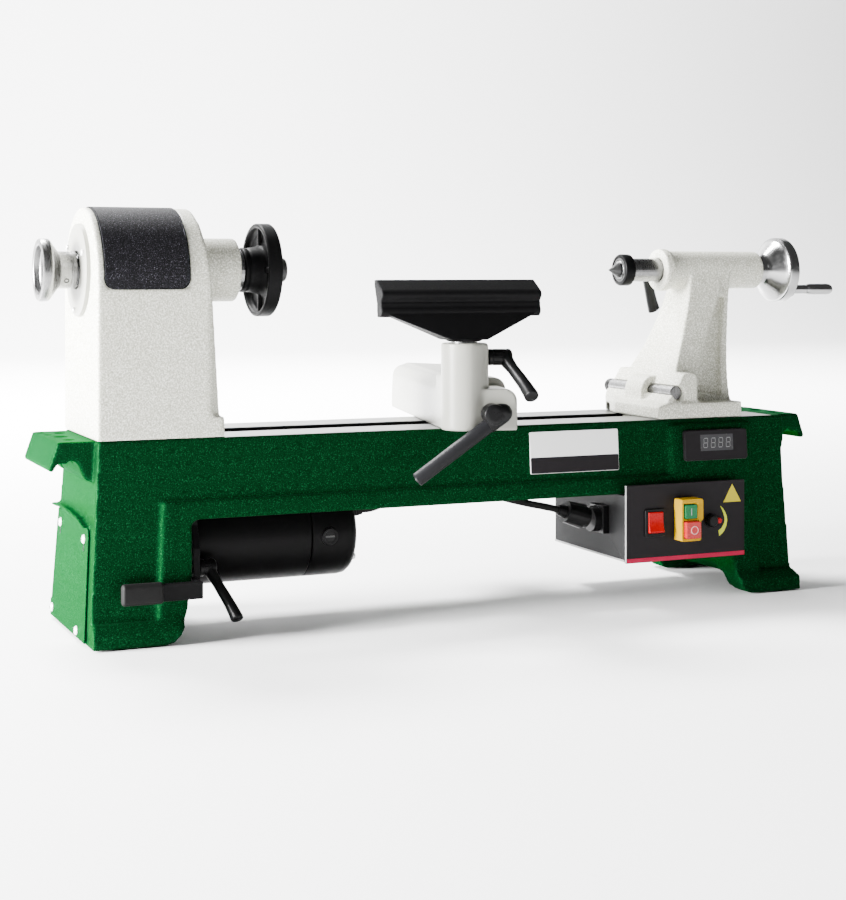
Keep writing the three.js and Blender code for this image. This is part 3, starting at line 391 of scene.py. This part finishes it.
def add_bevel(obj, width, segments=3, angle=30):
    edge = obj.modifiers.new("bevel", "BEVEL")
    edge.width = width / 1000
    edge.segments = segments
    edge.limit_method = "ANGLE"
    edge.angle_limit = radians(angle)
    edge.harden_normals = True


def cast(name, shapes, mat, body="root", voxel=1.6, smooth=5, keep=1.0, replaces=None,
         carve=None):
    """A casting: the shapes melt into each other, less carve, and every edge and corner is rounded."""
    obj = in_scene(name, mesh_of(name, joined(shapes), clean=False))
    melt = obj.modifiers.new("melt", "REMESH")
    melt.mode = "VOXEL"
    melt.voxel_size = voxel / 1000
    cutter = None
    if carve:
        cutter = in_scene(name + "_cutter", mesh_of(name + "_cutter", carve))
        away = obj.modifiers.new("carve", "BOOLEAN")
        away.operation = "DIFFERENCE"
        away.object = cutter
    soft = obj.modifiers.new("soften", "SMOOTH")
    soft.factor = 0.5
    soft.iterations = smooth
    if keep < 1:
        thin = obj.modifiers.new("thin", "DECIMATE")
        thin.ratio = keep
    baked(obj)
    if cutter:
        bpy.data.objects.remove(cutter)
    obj.data.shade_smooth()
    obj.data.materials.clear()
    obj.data.materials.append(mat)
    settle(obj, body, replaces)


def dress(name, mat, bevel=0):
    """A CAD node shown as it is, with its edges eased."""
    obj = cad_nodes[name]
    obj.data.materials.clear()
    obj.data.materials.append(mat)
    weld = obj.modifiers.new("weld", "WELD")
    weld.merge_threshold = 2e-6
    flat = obj.modifiers.new("flat", "DECIMATE")
    flat.decimate_type = "DISSOLVE"
    flat.angle_limit = radians(1)
    if bevel:
        add_bevel(obj, bevel, 2, 32)


# ---------------------------------------------------------------- bed
def front_face(z):
    """Y of the bed's front at a height."""
    return -(BED_FRONT + LEAN * (BED_TOP - z))


def rim_slope(foot, top, z0, z1, wide):
    """The steep edge of a raised band on the bed's front; its crest stands at foot on z0 and top on z1."""
    proud, inside, behind = BAND_RISE + 0.3, 6, 12
    corners = []
    for crest, z in ((foot, z0), (top, z1)):
        face = front_face(z)
        corners += [(crest - wide, face + 0.2, z), (crest, face - proud, z),
                    (crest + behind, face - proud, z), (crest + behind, face + inside, z),
                    (crest - wide, face + inside, z)]
    sides = [(k, (k + 1) % 5, (k + 1) % 5 + 5, k + 5) for k in range(5)]
    return corners, [(4, 3, 2, 1, 0), (5, 6, 7, 8, 9), *sides]


# A visor over the sheet cover at the belt end.
visor = prism("x", [(-58, 102.5), (-30, 106.5), (10, 108.5), (50, 109), (79, 108), (79, 110), (50, 112.4),
                    (10, 112), (-30, 109.6), (-58, 104)], -371, -360)
slopes = [rim_slope(-307, -301.2, 24, 124.6, 4), rim_slope(228, 228, 126, 174, 5.5)]
# The low arch between the two feet of the right leg.
foot_arch = prism("x", [(-66, -6), (-66, 8), *arc(-54, 8, 12, 180, 90, 4), *arc(54, 8, 12, 90, 0, 4),
                        (66, -6)], 288, 376)
cast("bed_casting", [from_node("bed"), visor, *slopes], GREEN, voxel=1.6, smooth=2, keep=0.2,
     replaces="bed", carve=foot_arch)

for side, word in ((1, "rear"), (-1, "front")):
    piece(f"way_{word}", boxed(-242, 352, *sorted((side * 19.2, side * 67.6)), 178.6, 180.2), GROUND,
          bevel=0.5)
    # Near-black sheets on the slot's sides: painted shade inside the bed's slot.
    piece(f"painted_shade_{word}", boxed(-242, 344, *sorted((side * 18.15, side * 19.0)), 152, 179.6),
          SHADOW_STEEL, bevel=0.1)
for row in ("front", "rear"):
    for end in ("left", "right"):
        dress(f"rubber_foot_{row}_{end}", RUBBER, 0.8)
dress("end_cover", GREEN, 0.5)
LEG_LEAN = shift(-370.4, 0, 0) @ Matrix.Rotation(atan2(9.5, 158), 4, "Y")
SCREW_HEAD = [(-1.3, 0), (-1.3, 4.2), (-2.1, 4.2), (-3.4, 3.2), (-4, 1.6), (-4, 0)]
for i, (y, z) in enumerate(((55, 94), (-45, 92), (71, 11), (-36, 9))):
    head = turned(SCREW_HEAD, (0, y, z), "x", 28)
    # A dark cross laid on each head: painted shade for its cross recess.
    cross = joined([boxed(-4.15, -3.6, y - 2, y + 2, z - 0.4, z + 0.4),
                    boxed(-4.15, -3.6, y - 0.4, y + 0.4, z - 2, z + 2)])
    piece(f"cover_screw_{i + 1}", moved(head, LEG_LEAN), SCREW_WHITE)
    piece(f"cover_screw_recess_shade_{i + 1}", moved(cross, LEG_LEAN), DARK_STEEL)
    if z > 50:
        # Each keyhole is a near-black plate on the cover: painted shade for the hole.
        slot_shape = prism("x", round_rect(y - 1.7, y + 1.7, z - 11, z, 1.6), -1.75, -1.2)
        piece(f"cover_keyhole_shade_{i + 1}", moved(slot_shape, LEG_LEAN), SHADOW_STEEL)

# ---------------------------------------------------------------- headstock
def arched(x0, x1, front, back, inner, outer, corner, columns=26, rows=60):
    """A curved panel over the headstock's arch, from the height front, with round front corners."""
    straight = ARCH_Z - front
    length = straight + ARCH_R * radians(90 + back)
    grid = [x0 + (x1 - x0) * (1 - cos(pi * i / columns)) / 2 for i in range(columns + 1)]
    verts, faces = [], []
    for r in (inner, outer):
        for x in grid:
            edge = min(x - x0, x1 - x)
            start = corner - (corner ** 2 - max(corner - edge, 0) ** 2) ** 0.5 if edge < corner else 0
            for k in range(rows + 1):
                s = start + (length - start) * k / rows
                if s < straight:
                    verts.append((x, -r, front + s))
                else:
                    a = (s - straight) / ARCH_R
                    verts.append((x, -r * cos(a), ARCH_Z + r * sin(a)))
    n = rows + 1
    layer = n * (columns + 1)
    for i in range(columns):
        for k in range(rows):
            quad = (i * n + k, (i + 1) * n + k, (i + 1) * n + k + 1, i * n + k + 1)
            faces += [quad, tuple(v + layer for v in reversed(quad))]
    rim = ([i * n for i in range(columns + 1)] + [columns * n + k for k in range(1, n)]
           + [i * n + rows for i in reversed(range(columns))] + [k for k in reversed(range(1, rows))])
    for a, b in zip(rim, rim[1:] + rim[:1]):
        faces.append((a, b, b + layer, a + layer))
    return verts, faces


cast("headstock_casting", [from_node("headstock")], CREAM, voxel=1.6, smooth=5, keep=0.4,
     replaces="headstock")
piece("belt_cover_shell", arched(-353, -276, 315.5, 40, 66.9, 70.0, 9), COVER_TEXTURE, "belt_cover", 0.5,
      replaces="belt_cover")
# A near-black sheet just wider than the cover: painted shade for the gap around it.
piece("belt_cover_gap_shade", arched(-354, -275, 314.5, 39, 66.6, 69.35, 10), SHADOW_STEEL, "belt_cover")
CAP = [(-364, 18), (-364.4, 19), (-364.4, 41), (-363.6, 42.6), (-359.6, 43), (-359.6, 18), (-364, 18)]
piece("bearing_cap_ring", turned(CAP, (0, 0, SPINDLE_Z), "x", 96), CREAM_SMOOTH, replaces="bearing_cap")
CAP_SCREW = [(-364.2, 0), (-364.2, 3.2), (-366.4, 3), (-366.9, 2.4), (-366.9, 1.5), (-365.4, 1.3),
             (-365.4, 0)]
CAP_SCREW_CIRCLE = 37
for i, a in enumerate((35, 155, 275)):
    y, z = CAP_SCREW_CIRCLE * cos(radians(a)), SPINDLE_Z + CAP_SCREW_CIRCLE * sin(radians(a))
    piece(f"cap_screw_{i + 1}", turned(CAP_SCREW, (0, y, z), "x", 24), SCREW_WHITE)
for name in ("rear_bearing", "front_bearing", "spindle"):
    dress(name, STEEL, 0.3)
for name in ("spindle_pulley", "motor_pulley"):
    dress(name, DARK_STEEL, 0.5)
belt = in_scene("drive_belt_loop", mesh_of("drive_belt_loop", from_node("drive_belt")))
belt.data.materials.append(RUBBER)
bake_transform(belt)
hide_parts("drive_belt")
dress("motor_shaft", STEEL, 0.3)

# ---------------------------------------------------------------- spindle line
disc = turned([
    (-207.5, 16.4), (-207.5, 20.4), (-206.6, 21.4), (-203.4, 21.4), (-202.6, 20.4), (-202, 20.4),
    (-200, 21.2), (-191, 22.4), (-188, 23.6), (-186.5, 26.6), (-186, 37), (-187.4, 39.2), (-191.4, 40.3),
    (-192.4, 41.2), (-192.4, 43.6), (-191.4, 44.5), (-180, 44.5), (-178.4, 43.4), (-178.2, 16.4),
    (-207.5, 16.4),
], (0, 0, SPINDLE_Z), "x", 96)
rib = boxed(-189.6, -186, -2.4, 2.4, 20, 40.4)
ribs = [moved(rib, shift(0, 0, SPINDLE_Z) @ rotation(90 * k, "X")) for k in range(4)]
cast("faceplate_disc", [disc, *ribs], BLACK_IRON, "spindle", voxel=0.75, smooth=3, keep=0.5,
     replaces="faceplate")
dress("spur_centre", DARK_STEEL, 0.2)
piece("outboard_wheel_rim", turned([
    (-365.5, 14), (-365.5, 16.4), (-366, 17), (-369, 17), (-369.5, 16.5), (-370.5, 16.5), (-371, 17),
    (-380.6, 17.1), (-382, 17.9), (-388.8, 27.2), (-389.8, 28.2), (-391, 28.7), (-397.4, 28.7),
    (-398.5, 28.1), (-398.9, 27), (-398.8, 23.4), (-398.2, 22.6), (-393, 21.8), (-392.2, 20.8),
    (-392, 14), (-365.5, 14),
], (0, 0, SPINDLE_Z), "x", 96), STEEL, "spindle", replaces="outboard_wheel")
grub = turned([(16.2, 0), (16.2, 2.6), (17.3, 2.6), (17.3, 1.4), (16.6, 1.2), (16.6, 0)], axis="y",
              steps=20)
for i, a in enumerate((215, 335)):
    turn = shift(-375.5, 0, SPINDLE_Z) @ rotation(a, "X")
    piece(f"wheel_grub_screw_{i + 1}", moved(grub, turn), DARK_STEEL, "spindle")

# ---------------------------------------------------------------- motor
for name, mat in (("motor_plate", BLACK_IRON), ("motor_pivot_pin", STEEL), ("tension_lever", BLACK_IRON)):
    dress(name, mat, 0.6)
piece("motor_shell", turned([
    (-264.5, 0), (-264.5, 40), (-263.4, 42), (-261.5, 43), (-150.4, 43), (-149.6, 42.4), (-149.4, 41.6),
    (-149, 0),
], (0, 0, MOTOR_Z), "x", 128), BLACK_GLOSS, "motor", replaces="motor_body")
bell = turned([
    (-148.6, 0), (-148.6, 41.6), (-148.2, 42.5), (-147.4, 43), (-113, 43), (-107.5, 42), (-103.5, 39),
    (-101.4, 34.5), (-101, 29), (-101, 0),
], (0, 0, MOTOR_Z), "x", 128)
gland = turned([(-104, 0), (-104, 7), (-99, 7), (-98, 6), (-96, 6), (-95.4, 5.4), (-94.4, 5.8),
                (-93, 5.2), (-91, 5), (-91, 0)], (0, -20, 100), "x", 32)
piece("motor_bell", bell, BLACK_GLOSS, "motor", replaces="motor_end_bell")
piece("motor_gland", gland, RUBBER, "motor")
BELL_SCREW = [(-102.5, 0), (-102.5, 3.4), (-100, 3.4), (-99, 2.6), (-99, 0)]
BELL_SCREW_CIRCLE = 33
for i, a in enumerate((45, 135, 225, 315)):
    y, z = BELL_SCREW_CIRCLE * cos(radians(a)), MOTOR_Z + BELL_SCREW_CIRCLE * sin(radians(a))
    piece(f"bell_screw_{i + 1}", turned(BELL_SCREW, (0, y, z), "x", 24), SCREW_WHITE, "motor")
cap = turned([(-41, 0), (-41, 8.2), (-44.4, 8.2), (-45, 7.4), (-45, 6), (-44.2, 5.4), (-44.2, 0)],
             (-132, 0, MOTOR_Z), "y", 40)
piece("brush_holder_cap", cap, BLACK_PLASTIC, "motor", replaces="brush_cap")
# A dark plate on the cap: painted shade for its screwdriver slot.
piece("brush_cap_slot_shade", boxed(-136.6, -127.4, -44.6, -44.0, MOTOR_Z - 0.8, MOTOR_Z + 0.8), DARK_STEEL,
      "motor")
piece("tension_grip", prism("x", round_rect(-97.4, -87.6, 38.2, 57.3, 4.2, 6), -344, -307), RUBBER,
      "motor", 2.6, 4, replaces="tension_lever_grip")

# ---------------------------------------------------------------- levers
TURN_BANJO = shift(28.5, 0, 0) @ rotation(-12.54, "Z")


def ratchet(name, hub, reach, stud, place, body, node_name, thick=1.0):
    """A clamp lever: fluted hub along X, an arm that narrows and swells to a rounded end."""
    root = hub - 7
    head = turned([(0, 0), (0, 7), (1.4, 8), (4.4, 8), (5, 7.3), (hub - 6, 7.5), (hub - 4.6, 8.2),
                   (hub - 2, 7.8), (hub - 0.4, 6.2), (hub, 5), (hub, 0)], steps=40)
    route = smooth_path([(root, 0, 1), (root + 2, 0, -6), (root + 7, 0, -reach * 0.4),
                         (root + 13.5, 0, -reach * 0.75), (root + 18, 0, -reach - 2),
                         (root + 18.6, 0, -reach - 5.6)], 8)
    swell = [(0, 7.4), (0.16, 6.8), (0.36, 5.5), (0.6, 6), (0.84, 7), (0.93, 6.6), (0.98, 4.8), (1, 3)]
    widths = [thick * between(i / (len(route) - 1), swell) for i in range(len(route))]
    arm = tube(route, widths, 24, 0.82, (0, 1, 0))
    cast(f"{name}_arm", [moved(head, place), moved(arm, place)], BLACK_PLASTIC, body, voxel=0.55,
         smooth=3, keep=0.4, replaces=node_name)
    flutes = [moved(boxed(5.2, hub - 6.2, -0.5, 0.5, 6.8, 7.9), place @ rotation(24 * k, "X"))
              for k in range(15)]
    piece(f"{name}_flutes", joined(flutes), BLACK_PLASTIC, body, 0.15, 1)
    screw = turned([(hub - 1, 0), (hub - 1, 3), (hub + 0.5, 2.8), (hub + 0.5, 1.7), (hub - 0.4, 1.5),
                    (hub - 0.4, 0)], steps=24)
    piece(f"{name}_screw", moved(screw, place), STEEL, body)
    shank = turned([(-stud, 0), (-stud, 3.2), (-stud + 0.8, 3.9), (0.5, 3.9), (0.5, 0)], steps=24)
    piece(f"{name}_stud", moved(shank, place), STEEL, body)


ratchet("motor_lock", 17, 48, 20, shift(-265.15, -56, 61) @ rotation(-34, "X"), "motor_lock",
        "motor_lock_lever")
ratchet("rest_lock", 24, 44, 7.6, TURN_BANJO @ shift(0.8, -98, 249) @ rotation(-42, "X"), "rest_lock",
        "rest_lock_lever", 1.18)
ratchet("quill_lock", 20, 45, 9, shift(261, 22.8, SPINDLE_Z) @ rotation(-27, "Y") @ rotation(90, "Z"),
        "quill_lock", "quill_lock_lever")

# ---------------------------------------------------------------- tool rest
def fan(y0, y1, z0, z1, x0, x1, low_y0, low_y1):
    """A plate that narrows and thickens downwards, from x1 wide at the top to x0 at the foot."""
    corners = [(sx * x, y, z) for x, a, b, z in ((x0, low_y0, low_y1, z0), (x1, y0, y1, z1))
               for y in (a, b) for sx in (-1, 1)]
    return corners, BOX_FACES


cast("banjo_casting", [from_node("banjo")], CREAM_SMOOTH, "banjo", voxel=1.3, smooth=12, keep=0.35,
     replaces="banjo")
post = Matrix.Translation(TURN_BANJO @ Vector((-21.7, -98, 0)))
REST_HALF = 83.5
bead = [(21, 322.4), (17.6, 323), (2.4, 313.2), (0.2, 311), (-0.4, 308.6), (0.4, 306.2), (3, 303.6),
        (4, 300.6), (3.4, 297.6), (1.6, 295), (1.4, 292.2), (3, 289.6), (5, 287.6), (14, 287.6),
        (14.6, 300), (21.4, 318.8)]
rest = [
    prism("x", bead, -REST_HALF, REST_HALF),
    boxed(-REST_HALF, REST_HALF, 3, 14.4, 292, 301),
    fan(3, 14.4, 265.8, 292.6, 18, 83.4, -15.4, 16.4),
    turned([(264.4, 0), (264.4, 16), (265.2, 16.6), (267, 17), (267, 0)], axis="z", steps=48),
]
cast("tool_rest_casting", [moved(shape, post) for shape in rest], BLACK_IRON, "tool_rest", voxel=0.8,
     smooth=3, keep=0.4, replaces="tool_rest_bar")
for name in ("tool_rest_stem", "banjo_lock_shaft", "banjo_clamp_bolt"):
    dress(name, STEEL, 0.4)
dress("banjo_clamp_plate", BLACK_IRON, 0.4)
# The shaft of the rest's clamp lies along Y at this height, and its lever swings at LEVER_Y.
REST_SHAFT_Z = 197
LEVER_Y = -127
knuckle = [
    tube([(0, y, REST_SHAFT_Z) for y in (-136, -135, -120.4, -119.4)], [6.5, 9.8, 10.2, 9.4], 32),
    tube(smooth_path([(0, -128, REST_SHAFT_Z), (5, -128.4, 199.4), (10.4, -128, 199), (9, -127.6, 196),
                      (3, LEVER_Y, 191.5), (-5, LEVER_Y, 186)], 6), 7.6, 24),
]
cast("banjo_lever_knuckle", [moved(shape, TURN_BANJO) for shape in knuckle], BLACK_PLASTIC, "banjo_lock",
     voxel=0.6, smooth=4, keep=0.5, replaces="banjo_lock_handle")
sleeve = tube([(3, LEVER_Y, 192), (1.4, LEVER_Y, 190.9), (-68, LEVER_Y, 140.6), (-72.3, LEVER_Y, 137.5),
               (-73, LEVER_Y, 137)], [6.2, 6.9, 6.7, 6.7, 5.8], 40)
piece("banjo_lever_sleeve", moved(sleeve, TURN_BANJO), DARK_SLEEVE, "banjo_lock", 0.2, 2)
end_ring = tube([(-72.6, LEVER_Y, 137.3), (-73.5, LEVER_Y, 136.64)], [2.6, 2.2], 24)
piece("banjo_lever_end", moved(end_ring, TURN_BANJO), DARK_STEEL, "banjo_lock", 0.2, 2)
washer = turned([(-119.2, 7.3), (-119.2, 9.6), (-118.2, 9.8), (-117, 9.8), (-116.6, 9.4), (-116.6, 7.3),
                 (-119.2, 7.3)], (0, 0, REST_SHAFT_Z), "y", 40)
piece("banjo_lever_washer", moved(washer, TURN_BANJO), STEEL, "banjo_lock")

# ---------------------------------------------------------------- tailstock
cast("tailstock_casting", [from_node("tailstock")], CREAM, "tailstock", voxel=1.2, smooth=5, keep=0.3,
     replaces="tailstock")
for name in ("quill", "tailstock_clamp_bolt"):
    dress(name, STEEL, 0.3)
dress("tailstock_clamp_plate", BLACK_IRON, 0.3)
CENTRE = (0, 0, SPINDLE_Z)
piece("live_centre_case", turned([
    (252, 0), (252, 8), (219.3, 8.8), (219.3, 15.4), (218.4, 16.4), (217, 16.6), (209.4, 16.6),
    (208, 15.9), (207.3, 14.6), (207.3, 13.2), (208.4, 12.8), (208.4, 6.4), (214, 6.4), (214, 0),
], CENTRE, "x", 80), BLACK_GLOSS, "quill", replaces="live_centre_body")
race = [(208.6, 7.6), (207.7, 7.8), (207.5, 8.2), (207.5, 9.4), (207.8, 9.8), (208.6, 9.9)]
piece("live_centre_race", turned(race, CENTRE), STEEL, "quill")
seal = [(208.5, 10.3), (208.0, 10.6), (208.0, 12.3), (208.5, 12.6)]
piece("live_centre_seal", turned(seal, CENTRE), DARK_STEEL, "quill")
cone = [(194.9, 0), (195.3, 0.5), (205.4, 7.1), (206.7, 7.3), (207.2, 6.9), (207.2, 5.8), (213.6, 5.8),
        (213.6, 0)]
piece("live_centre_cone", turned(cone, CENTRE), DARK_STEEL, "live_point", replaces="live_centre_point")
piece("handwheel_dish", turned([
    (288, 0), (288, 6.6), (289, 7.1), (377, 7.1), (377, 14.2), (377.8, 15), (383, 15.2), (384.6, 15.8),
    (387, 18), (396, 27.5), (399.4, 31), (400.4, 33), (400.6, 34.2), (401.6, 35), (410.6, 35),
    (411.8, 34.4), (412.4, 33.4), (412.4, 30.6), (411.6, 29.6), (407, 27), (405.2, 24), (405, 14),
    (406.4, 12.4), (411, 11.6), (412, 10.6), (412, 0),
], CENTRE, "x", 128), CHROME, "tail_wheel", replaces="tailstock_handwheel")
CRANK = (0, -17, 311)
stud = [(402, 0), (402, 8), (412.6, 8), (413.6, 7.2), (413.6, 3), (461, 3), (461, 0)]
piece("crank_stud", turned(stud, CRANK, "x", 48), CHROME, "tail_wheel")
piece("crank_handle", turned([
    (414.2, 3.3), (414.2, 4.4), (415, 4.9), (429, 4.8), (430, 5.1), (431, 4.5), (432, 4.5), (433, 5.3),
    (436, 6), (458, 6.2), (462, 5.6), (464.4, 4.4), (465.6, 2.8), (466, 0), (461.6, 0), (461.6, 3.3),
    (414.2, 3.3),
], CRANK, "x", 64), CHROME, "crank_grip", replaces="crank_grip")
# The shaft of the tailstock's clamp lies along Y at this place, and its lever ends in a ball.
TAIL_SHAFT_X, TAIL_SHAFT_Z = 240, 206
LEVER_BALL = (312, 90, 215)
lever = [
    tube([(TAIL_SHAFT_X, y, TAIL_SHAFT_Z) for y in (66, 67, 75, 76)], [6.6, 7.4, 7.4, 6.4], 32),
    tube(smooth_path([(TAIL_SHAFT_X, 71.5, TAIL_SHAFT_Z), (256, 80, 208), (284, 85, 211.5), LEVER_BALL], 6),
         5.4, 24),
    ball(LEVER_BALL, 9, 28),
]
cast("tailstock_lever", lever, BLACK_PLASTIC, "tailstock_lock", voxel=0.8, smooth=4, keep=0.5,
     replaces="tailstock_lock_lever")
shaft = [(-60.4, 0), (-60.4, 6), (-59.6, 7), (70, 7), (70, 0)]
piece("tailstock_lock_shaft", turned(shaft, (TAIL_SHAFT_X, 0, TAIL_SHAFT_Z), "y", 40), STEEL,
      "tailstock_lock")

# ---------------------------------------------------------------- controls
PANEL_FACE = -90.2
PANEL_BACK = -89.9  # stickers reach this far into the panel
PLATE_GAP = 0.35  # between the bed's front and the back of a plate on it


def flat_sticker(name, outline, mat):
    piece(name, prism("y", outline, PANEL_FACE - 0.12, PANEL_BACK), mat)


def on_front(shape, proud=0.0):
    """A shape drawn upright, laid on the bed's leaning front, or on a band proud of it."""
    turn = Matrix.Rotation(-atan2(LEAN, 1), 4, "X")
    return moved(shape, shift(0, -(BED_FRONT + proud + PLATE_GAP + LEAN * BED_TOP), 0) @ turn)


dress("control_box", BOX_GREY, 0.6)
dress("control_panel", PANEL, 0.3)
dress("speed_controller", HEAT_SINK, 0.3)
piece("box_bottom_lip", boxed(163.5, 165, -86, 60.3, 41.6, 43.6), PALE, bevel=0.3)
piece("panel_edge_left", boxed(163.8, 164.3, -90.1, -87.6, 40.4, 117.7), PALE, bevel=0.2)
piece("panel_stripe", boxed(164.7, 302.8, -90.16, -89.8, 40.9, 45), RED_LABEL)
flat_sticker("speed_arc", [(273.7, 92.4), (277, 89.4), (279.7, 85.4), (281.4, 81.4), (282, 77.3),
                           (281, 71.8), (278.8, 67.3), (276, 64), (272.5, 61.7), (271.6, 67.3),
                           (274.8, 69.4), (277, 72.3), (278.4, 74.8), (278.8, 77.3), (278.7, 80.4),
                           (277.7, 83.4), (276, 88)], LIME)
flat_sticker("blank_triangle", [(288, 113.8), (277.4, 95.6), (298.6, 95.6)], PALE_YELLOW)
piece("rocker_frame", prism("y", round_rect(184.6, 207.9, 65.8, 93.6, 2.4, 5), -92.4, -90.3),
      BLACK_PLASTIC, bevel=0.7, replaces="rocker_bezel")
# A near-black plate inside the frame: painted shade in the rocker's well.
piece("rocker_well_shade", prism("y", round_rect(187.2, 205.3, 68.6, 91.2, 0.8, 3), -92.5, -91.9), SHADOW_STEEL)
rocker = [(-84, 73), (-91, 69.6), (-95.6, 70), (-96.2, 71.4), (-94.4, 76), (-93.7, 80), (-93.5, 84.5),
          (-93.6, 89.6), (-93, 90.4), (-91, 90.6), (-84, 87)]
piece("rocker_key", prism("x", rocker, 187.9, 204.6), RED, "power_rocker", 0.5, 3,
      replaces="power_rocker")
housing = joined([prism("y", round_rect(219, 244, 81, 103, 1.6, 4), -105, -90.35),
                  prism("y", round_rect(219, 241.5, 61, 84, 1.6, 4), -105, -90.35)])
wells = joined([boxed(221.2, 237.6, -112, -95.2, 83, 98.6), boxed(221.2, 239.4, -112, -95.2, 63.4, 81.6)])
cast("switch_case", [housing], YELLOW, voxel=0.5, smooth=2, keep=0.4, replaces="switch_housing",
     carve=wells)
# A near-black plate behind the keys: painted shade in their wells.
piece("button_well_shade", boxed(220.8, 239.8, -95.3, -95, 63, 99), SHADOW_STEEL)
piece("start_key", prism("y", round_rect(222.6, 236.2, 83.8, 97.6, 1.2, 4), -106.4, -98.5), BUTTON_GREEN,
      "start_button", 0.5, 3, replaces="start_button")
piece("stop_key", prism("y", round_rect(221.8, 238.8, 64, 81, 1.6, 4), -109.6, -98.5), STOP_RED,
      "stop_button", 0.8, 3, replaces="stop_button")
ring = [(-109.5, 3.5), (-109.9, 3.6), (-109.9, 4.2), (-109.5, 4.3)]
piece("stop_ring", turned(ring, (231, 0, 72.5), "y", 40), PINK, "stop_button")
piece("start_bar", boxed(229, 229.7, -106.6, -106.3, 87, 94), PALE, "start_button")
KNOB = (261, 0, 78.5)
knob = turned([(-90.7, 0), (-90.7, 6.6), (-91.6, 6.8), (-92.2, 6.3), (-97.4, 5.6), (-98.4, 4.8),
               (-98.6, 0)], KNOB, "y", 48)
piece("knob_body", knob, BLACK_PLASTIC, "speed_knob", replaces="speed_knob")
grip = boxed(-0.5, 0.5, -97.2, -92.4, 5, 6.6)
grips = [moved(grip, shift(*KNOB) @ rotation(20 * k, "Y")) for k in range(18)]
piece("knob_grips", joined(grips), BLACK_PLASTIC, "speed_knob", 0.2, 1)
pointer = [(-90.6, 0), (-90.6, 3), (-96.4, 3), (-97.4, 2.2), (-97.4, 0)]
piece("knob_pointer", turned(pointer, (268.8, 0, 78.5), "y", 28), RED, "speed_knob")

dress("name_plate", WHITE, 0.2)
name_band = prism("y", round_rect(66.3, 164.7, 132.8, 148.4, 1.2, 3), -1.36, -1.0)
piece("name_plate_band", on_front(name_band), PANEL)
display = prism("y", round_rect(238.5, 313, 138, 169, 3, 5), -5, 0)
piece("display_frame", on_front(display, BAND_RISE), PANEL, bevel=0.9, replaces="display")
window = boxed(256.6, 295.6, -5.25, -4.9, 147.6, 164.2)
piece("display_window", on_front(window, BAND_RISE), GLASS, bevel=0.1)
# The seven bars of a digit: middle in X and Z, width and height.
SEGMENTS = [(0, 9.4, 4.6, 1), (0, 4.7, 4.6, 1), (0, 0, 4.6, 1), (-2.3, 7, 1, 4.2), (2.3, 7, 1, 4.2),
            (-2.3, 2.4, 1, 4.2), (2.3, 2.4, 1, 4.2)]
DIGIT_LEFT, DIGIT_STEP, DIGIT_FOOT, DIGIT_SLANT = 262.2, 9, 151, 0.1
for k in range(4):
    bars = []
    for x, z, w, h in SEGMENTS:
        middle = DIGIT_LEFT + DIGIT_STEP * k + x + DIGIT_SLANT * z
        bars.append(boxed(middle - w / 2 + 0.3, middle + w / 2 - 0.3, -5.4, -5.2,
                          DIGIT_FOOT + z - h / 2 + 0.15, DIGIT_FOOT + z + h / 2 - 0.15))
    piece(f"display_digit_{k + 1}", on_front(joined(bars), BAND_RISE), DIGIT)

# ---------------------------------------------------------------- motor lead
for name in ("lead_clip", "lead_plug", "lead_socket"):
    dress(name, BLACK_PLASTIC, 0.6)
route = smooth_path([(-91, -20, 100), (-80, -21, 101), (-62, -27, 108), (-38, -38, 116),
                     (-16, -44, 119.8), (-5, -44, 120), (6, -44, 119.8), (26, -45, 115.5), (50, -46, 107),
                     (76, -45, 100), (98, -43, 95), (113, -42, 91.2)], 8)
lead = in_scene("motor_lead_cord", mesh_of("motor_lead_cord", tube(route, 3.5, 16)))
lead.data.shade_smooth()
lead.data.materials.append(RUBBER)
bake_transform(lead)
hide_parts("motor_lead")


# ---------------------------------------------------------------- studio, in metres
def studio():
    """A pale floor that curves up into a wall behind the lathe."""
    steps = 24
    radius, depth, half, near, top = 3.0, 5.0, 9.0, -8.0, 9.0
    curve = [(near, 0.0)]
    for i in range(steps + 1):
        a = pi / 2 * i / steps
        curve.append((depth + radius * sin(a), radius * (1 - cos(a))))
    curve.append((depth + radius, top))
    verts = [(x, y, z) for x in (-half, half) for y, z in curve]
    n = len(curve)
    data = bpy.data.meshes.new("floor")
    data.from_pydata(verts, [], [(i, i + 1, i + 1 + n, i + n) for i in range(n - 1)])
    data.shade_smooth()
    floor = in_scene("floor", data)
    data.materials.append(material("pale_floor", (0.9, 0.9, 0.9), 0.9))


def light(name, place, target, size, watts):
    """An area light at place that faces target."""
    data = bpy.data.lights.new(name, "AREA")
    data.shape = "RECTANGLE"
    data.size, data.size_y = size
    data.energy = watts
    obj = in_scene(name, data)
    obj.location = place
    obj.rotation_euler = (Vector(target) - Vector(place)).to_track_quat("-Z", "Y").to_euler()


studio()
world = bpy.data.worlds.new("world")
world.use_nodes = True
world.node_tree.nodes["Background"].inputs["Color"].default_value = (1, 1, 1, 1)
world.node_tree.nodes["Background"].inputs["Strength"].default_value = 0.12
scene.world = world
light("left softbox", (-2.6, 0.09, 0.65), (0, 0, 0.2), (1.2, 1.1), 1000)
light("top softbox", (-0.6, 1.5, 2.2), (0, 0, 0.1), (1.0, 0.6), 330)
light("front fill", (-0.9, -3.2, 2.0), (0, 0, 0.2), (1.6, 1.2), 5)
light("backdrop glow", (0, 2.0, 3.0), (0, 6.0, 0.6), (4.0, 1.0), 2600)
